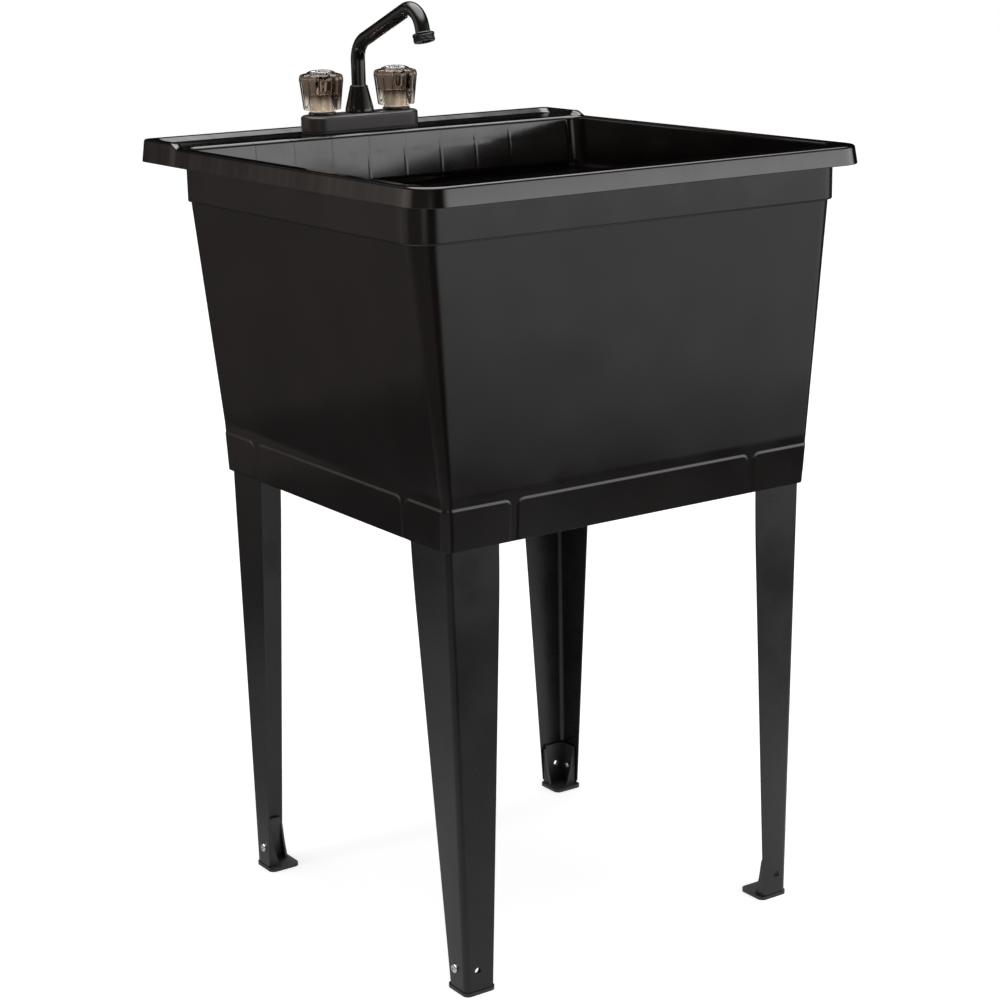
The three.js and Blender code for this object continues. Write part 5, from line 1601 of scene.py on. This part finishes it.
# ----------------------------------------------------------------------------------------------------- studio
@dataclass(frozen=True)
class Lamp:
    """A soft rectangular lamp that looks at a point, in metres."""

    name: str
    place: tuple
    aim: tuple
    size: tuple
    power: float

    def hang(self) -> None:
        """Makes the lamp."""
        data = bpy.data.lights.new(self.name, "AREA")
        data.shape = "RECTANGLE"
        data.size, data.size_y = self.size
        data.energy = self.power
        lamp = bpy.data.objects.new(self.name, data)
        bpy.context.scene.collection.objects.link(lamp)
        away = np.array(self.place) - np.array(self.aim)
        back = away / np.linalg.norm(away)
        right = np.cross([0.0, 0.0, 1.0], back)
        right /= np.linalg.norm(right)
        axes = np.column_stack([right, np.cross(back, right), back, self.place])
        lamp.matrix_world = Matrix([*axes.tolist(), [0.0, 0.0, 0.0, 1.0]])
        lamp.visible_glossy = False


def panel(x: Value, y: Value, heading: float, full: float, none: float) -> Value:
    """A soft upright panel of light in the world: 1 near a heading, and 0 away from it.

    Args:
        x: the direction's X.
        y: the direction's Y.
        heading: of the panel's middle, in degrees from +Y towards +X.
        full: how many degrees off it the panel is still at its brightest.
        none: how many degrees off it the panel ends.

    Returns:
        The panel's brightness from 0 to 1.
    """
    turn = math.radians(heading)
    facing = x * math.sin(turn) + y * math.cos(turn)
    return facing.ramp(math.cos(math.radians(none)), math.cos(math.radians(full)))


@dataclass(frozen=True)
class Studio:
    """The camera, a white room with soft panels in its reflections, soft lamps and a pale floor."""

    eye: tuple = (-1.4286, -2.1208, 1.1205)
    yaw: float = 34.19
    pitch: float = -14.62
    roll: float = -0.02086  # in radians
    focal: float = 2.3044  # as a share of the picture's width
    middle: tuple = (0.5091, 0.5042)
    sensor: float = 36.0
    fill: float = 0.6
    panels: tuple = ((136, 18, 44, 3.8), (217, 4, 15, 1.6), (303, 8, 32, 1.05))  # see panel(), then its level
    ahead: tuple = (34, 20, 42)
    sky: tuple = (340, 14, 34)
    warm: tuple = (1.0, 0.9, 0.84)  # what reflections turn to on the left

    def camera(self) -> None:
        """Sets the camera: heading, then tilt, then a small roll about its own axis."""
        data = bpy.data.cameras.new("camera")
        data.sensor_width = self.sensor
        data.lens = self.focal * self.sensor
        data.shift_x, data.shift_y = 0.5 - self.middle[0], self.middle[1] - 0.5
        data.clip_start, data.clip_end = 0.05, 50.0
        camera = bpy.data.objects.new("camera", data)
        bpy.context.scene.collection.objects.link(camera)
        yaw, pitch = math.radians(self.yaw), math.radians(self.pitch)
        ahead = np.array([math.sin(yaw) * math.cos(pitch), math.cos(yaw) * math.cos(pitch), math.sin(pitch)])
        right = np.array([math.cos(yaw), -math.sin(yaw), 0.0])
        up = np.cross(right, ahead)
        c, s = math.cos(self.roll), math.sin(self.roll)
        axes = np.column_stack([c * right + s * up, c * up - s * right, -ahead, self.eye])
        camera.matrix_world = Matrix([*axes.tolist(), [0.0, 0.0, 0.0, 1.0]])
        bpy.context.scene.camera = camera

    def room(self) -> None:
        """The world: white to the eye, dimmer through clear plastic, panels in reflections, an even fill."""
        world = bpy.data.worlds.new("room")
        world.use_nodes = True
        bpy.context.scene.world = world
        nodes = Nodes(world.node_tree)
        x, y, z = nodes.axes(nodes.node("ShaderNodeTexCoord", {}, {}).outputs["Generated"])
        seen = nodes.node("ShaderNodeLightPath", {}, {}).outputs
        plain, glossy = Value(nodes, seen["Is Camera Ray"]), Value(nodes, seen["Is Glossy Ray"])
        clear = Value(nodes, seen["Is Transmission Ray"])
        upright = sum(panel(x, y, *place) * level for *place, level in self.panels)
        foot = z.ramp(-0.15, 0.08) * 0.75 + z.ramp(-0.31, -0.22) * 0.17 + 0.06
        head = z.ramp(0.28, 0.14) * 0.85 + z.ramp(0.55, 0.3) * 0.15
        upright = upright * foot * head + x.ramp(-0.25, -0.5) * z.ramp(0.4, 0.2) * 0.13
        ahead = panel(x, y, *self.ahead)
        over = z.ramp(0.6, 0.85) * 6.0 + z.ramp(0.02, -0.06) * 0.035
        over = over + panel(x, y, *self.sky) * z.ramp(0.42, 0.54) * z.ramp(0.85, 0.6) * 6.0
        low = ahead * z.ramp(-0.06, -0.12) * z.ramp(-0.4, -0.2) * 3.0
        mirrored = glossy * (upright + low + over)
        refracted = clear * (ahead * 0.85 + z.ramp(0.5, 0.9) * 0.5 + 0.07)
        strength = plain + refracted + mirrored
        strength = strength + (1.0 - plain) * (1.0 - clear) * (1.0 - glossy) * self.fill
        background = world.node_tree.nodes["Background"]
        nodes.link(strength, background.inputs["Strength"])
        tint = nodes.blend(glossy * x.ramp(0.2, -0.4), (1.0, 1.0, 1.0), self.warm)
        nodes.link(tint, background.inputs["Color"])

    def disc(self, name: str, radius: float, z: float, shade: Shader) -> bpy.types.Object:
        """A flat round card on the floor, sizes in metres, as part of the stage."""
        turn = np.linspace(0, 2 * np.pi, 96, endpoint=False)
        mesh = bpy.data.meshes.new(name)
        rim = np.column_stack([radius * np.cos(turn), radius * np.sin(turn), np.full(len(turn), z)])
        mesh.from_pydata(rim.tolist(), [], [tuple(range(len(turn)))])
        mesh.materials.append(shade.material)
        card = bpy.data.objects.new(name, mesh)
        bpy.context.scene.collection.objects.link(card)
        return card

    def floor(self) -> None:
        """A pale floor, clear from below, that keeps the sink's shadow, and a pool of light in reflections."""
        white = Shader("floor_white")
        white.set(Base_Color=(0.8, 0.8, 0.8, 1.0), Roughness=0.9, Specular_IOR_Level=0.0)
        white.set(Emission_Color=(1.0, 1.0, 1.0, 1.0), Emission_Strength=0.6)
        below = white.node("ShaderNodeNewGeometry", {}, {}).outputs["Backfacing"]
        white.set(Alpha=1.0 - Value(white, below))
        self.disc("floor", 9.0, 0.0, white).visible_glossy = False
        pool = Shader("floor_pool")
        length = pool.node("ShaderNodeVectorMath", {"operation": "LENGTH"}, {0: pool.place})
        away = Value(pool, length.outputs["Value"])
        level = away.ramp(1.3, 0.3) * (pool.y.ramp(0.5, 0.0) * 0.4 + 0.2)
        level = level + away.ramp(2.2, 1.0) * pool.x.ramp(-0.3, -0.8) * pool.y.ramp(1.2, 0.6) * 0.35
        level = level + away.ramp(2.0, 0.4) * pool.x.ramp(0.05, 0.6) * 0.6
        pool.set(Base_Color=(0.0, 0.0, 0.0, 1.0), Specular_IOR_Level=0.0, Emission_Strength=1.0)
        pool.set(Emission_Color=pool.blend(level, (0.05, 0.05, 0.05), (1.0, 1.0, 1.0)))
        card = self.disc("floor_pool", 2.0, -0.002, pool)
        card.visible_camera = card.visible_diffuse = card.visible_transmission = card.visible_shadow = False

    def build(self) -> None:
        """Sets the stage."""
        self.camera()
        self.room()
        self.floor()
        for lamp in (
            Lamp("overhead", (0.2, -0.3, 3.2), (0.0, 0.0, 0.8), (1.6, 1.6), 28.0),
            Lamp("left_strip", (-3.2, 0.5, 1.6), (0.0, 0.0, 0.6), (0.5, 2.2), 14.0),
            Lamp("front_strip", (-0.3, -3.4, 1.6), (0.0, 0.0, 0.6), (0.5, 2.2), 10.0),
        ):
            lamp.hang()
        bpy.context.scene.view_settings.view_transform = "Standard"


def main() -> None:
    """Builds the sink round the frame."""
    logging.basicConfig(level=logging.INFO, format="%(message)s")
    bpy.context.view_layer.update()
    Studio().build()
    Tub().build()
    for name, sx, sy in CORNERS:
        Leg(name, sx, sy).build()
    Drain().build()
    Tap().build()
    bpy.context.view_layer.update()


if __name__ == "__main__":
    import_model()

    main()
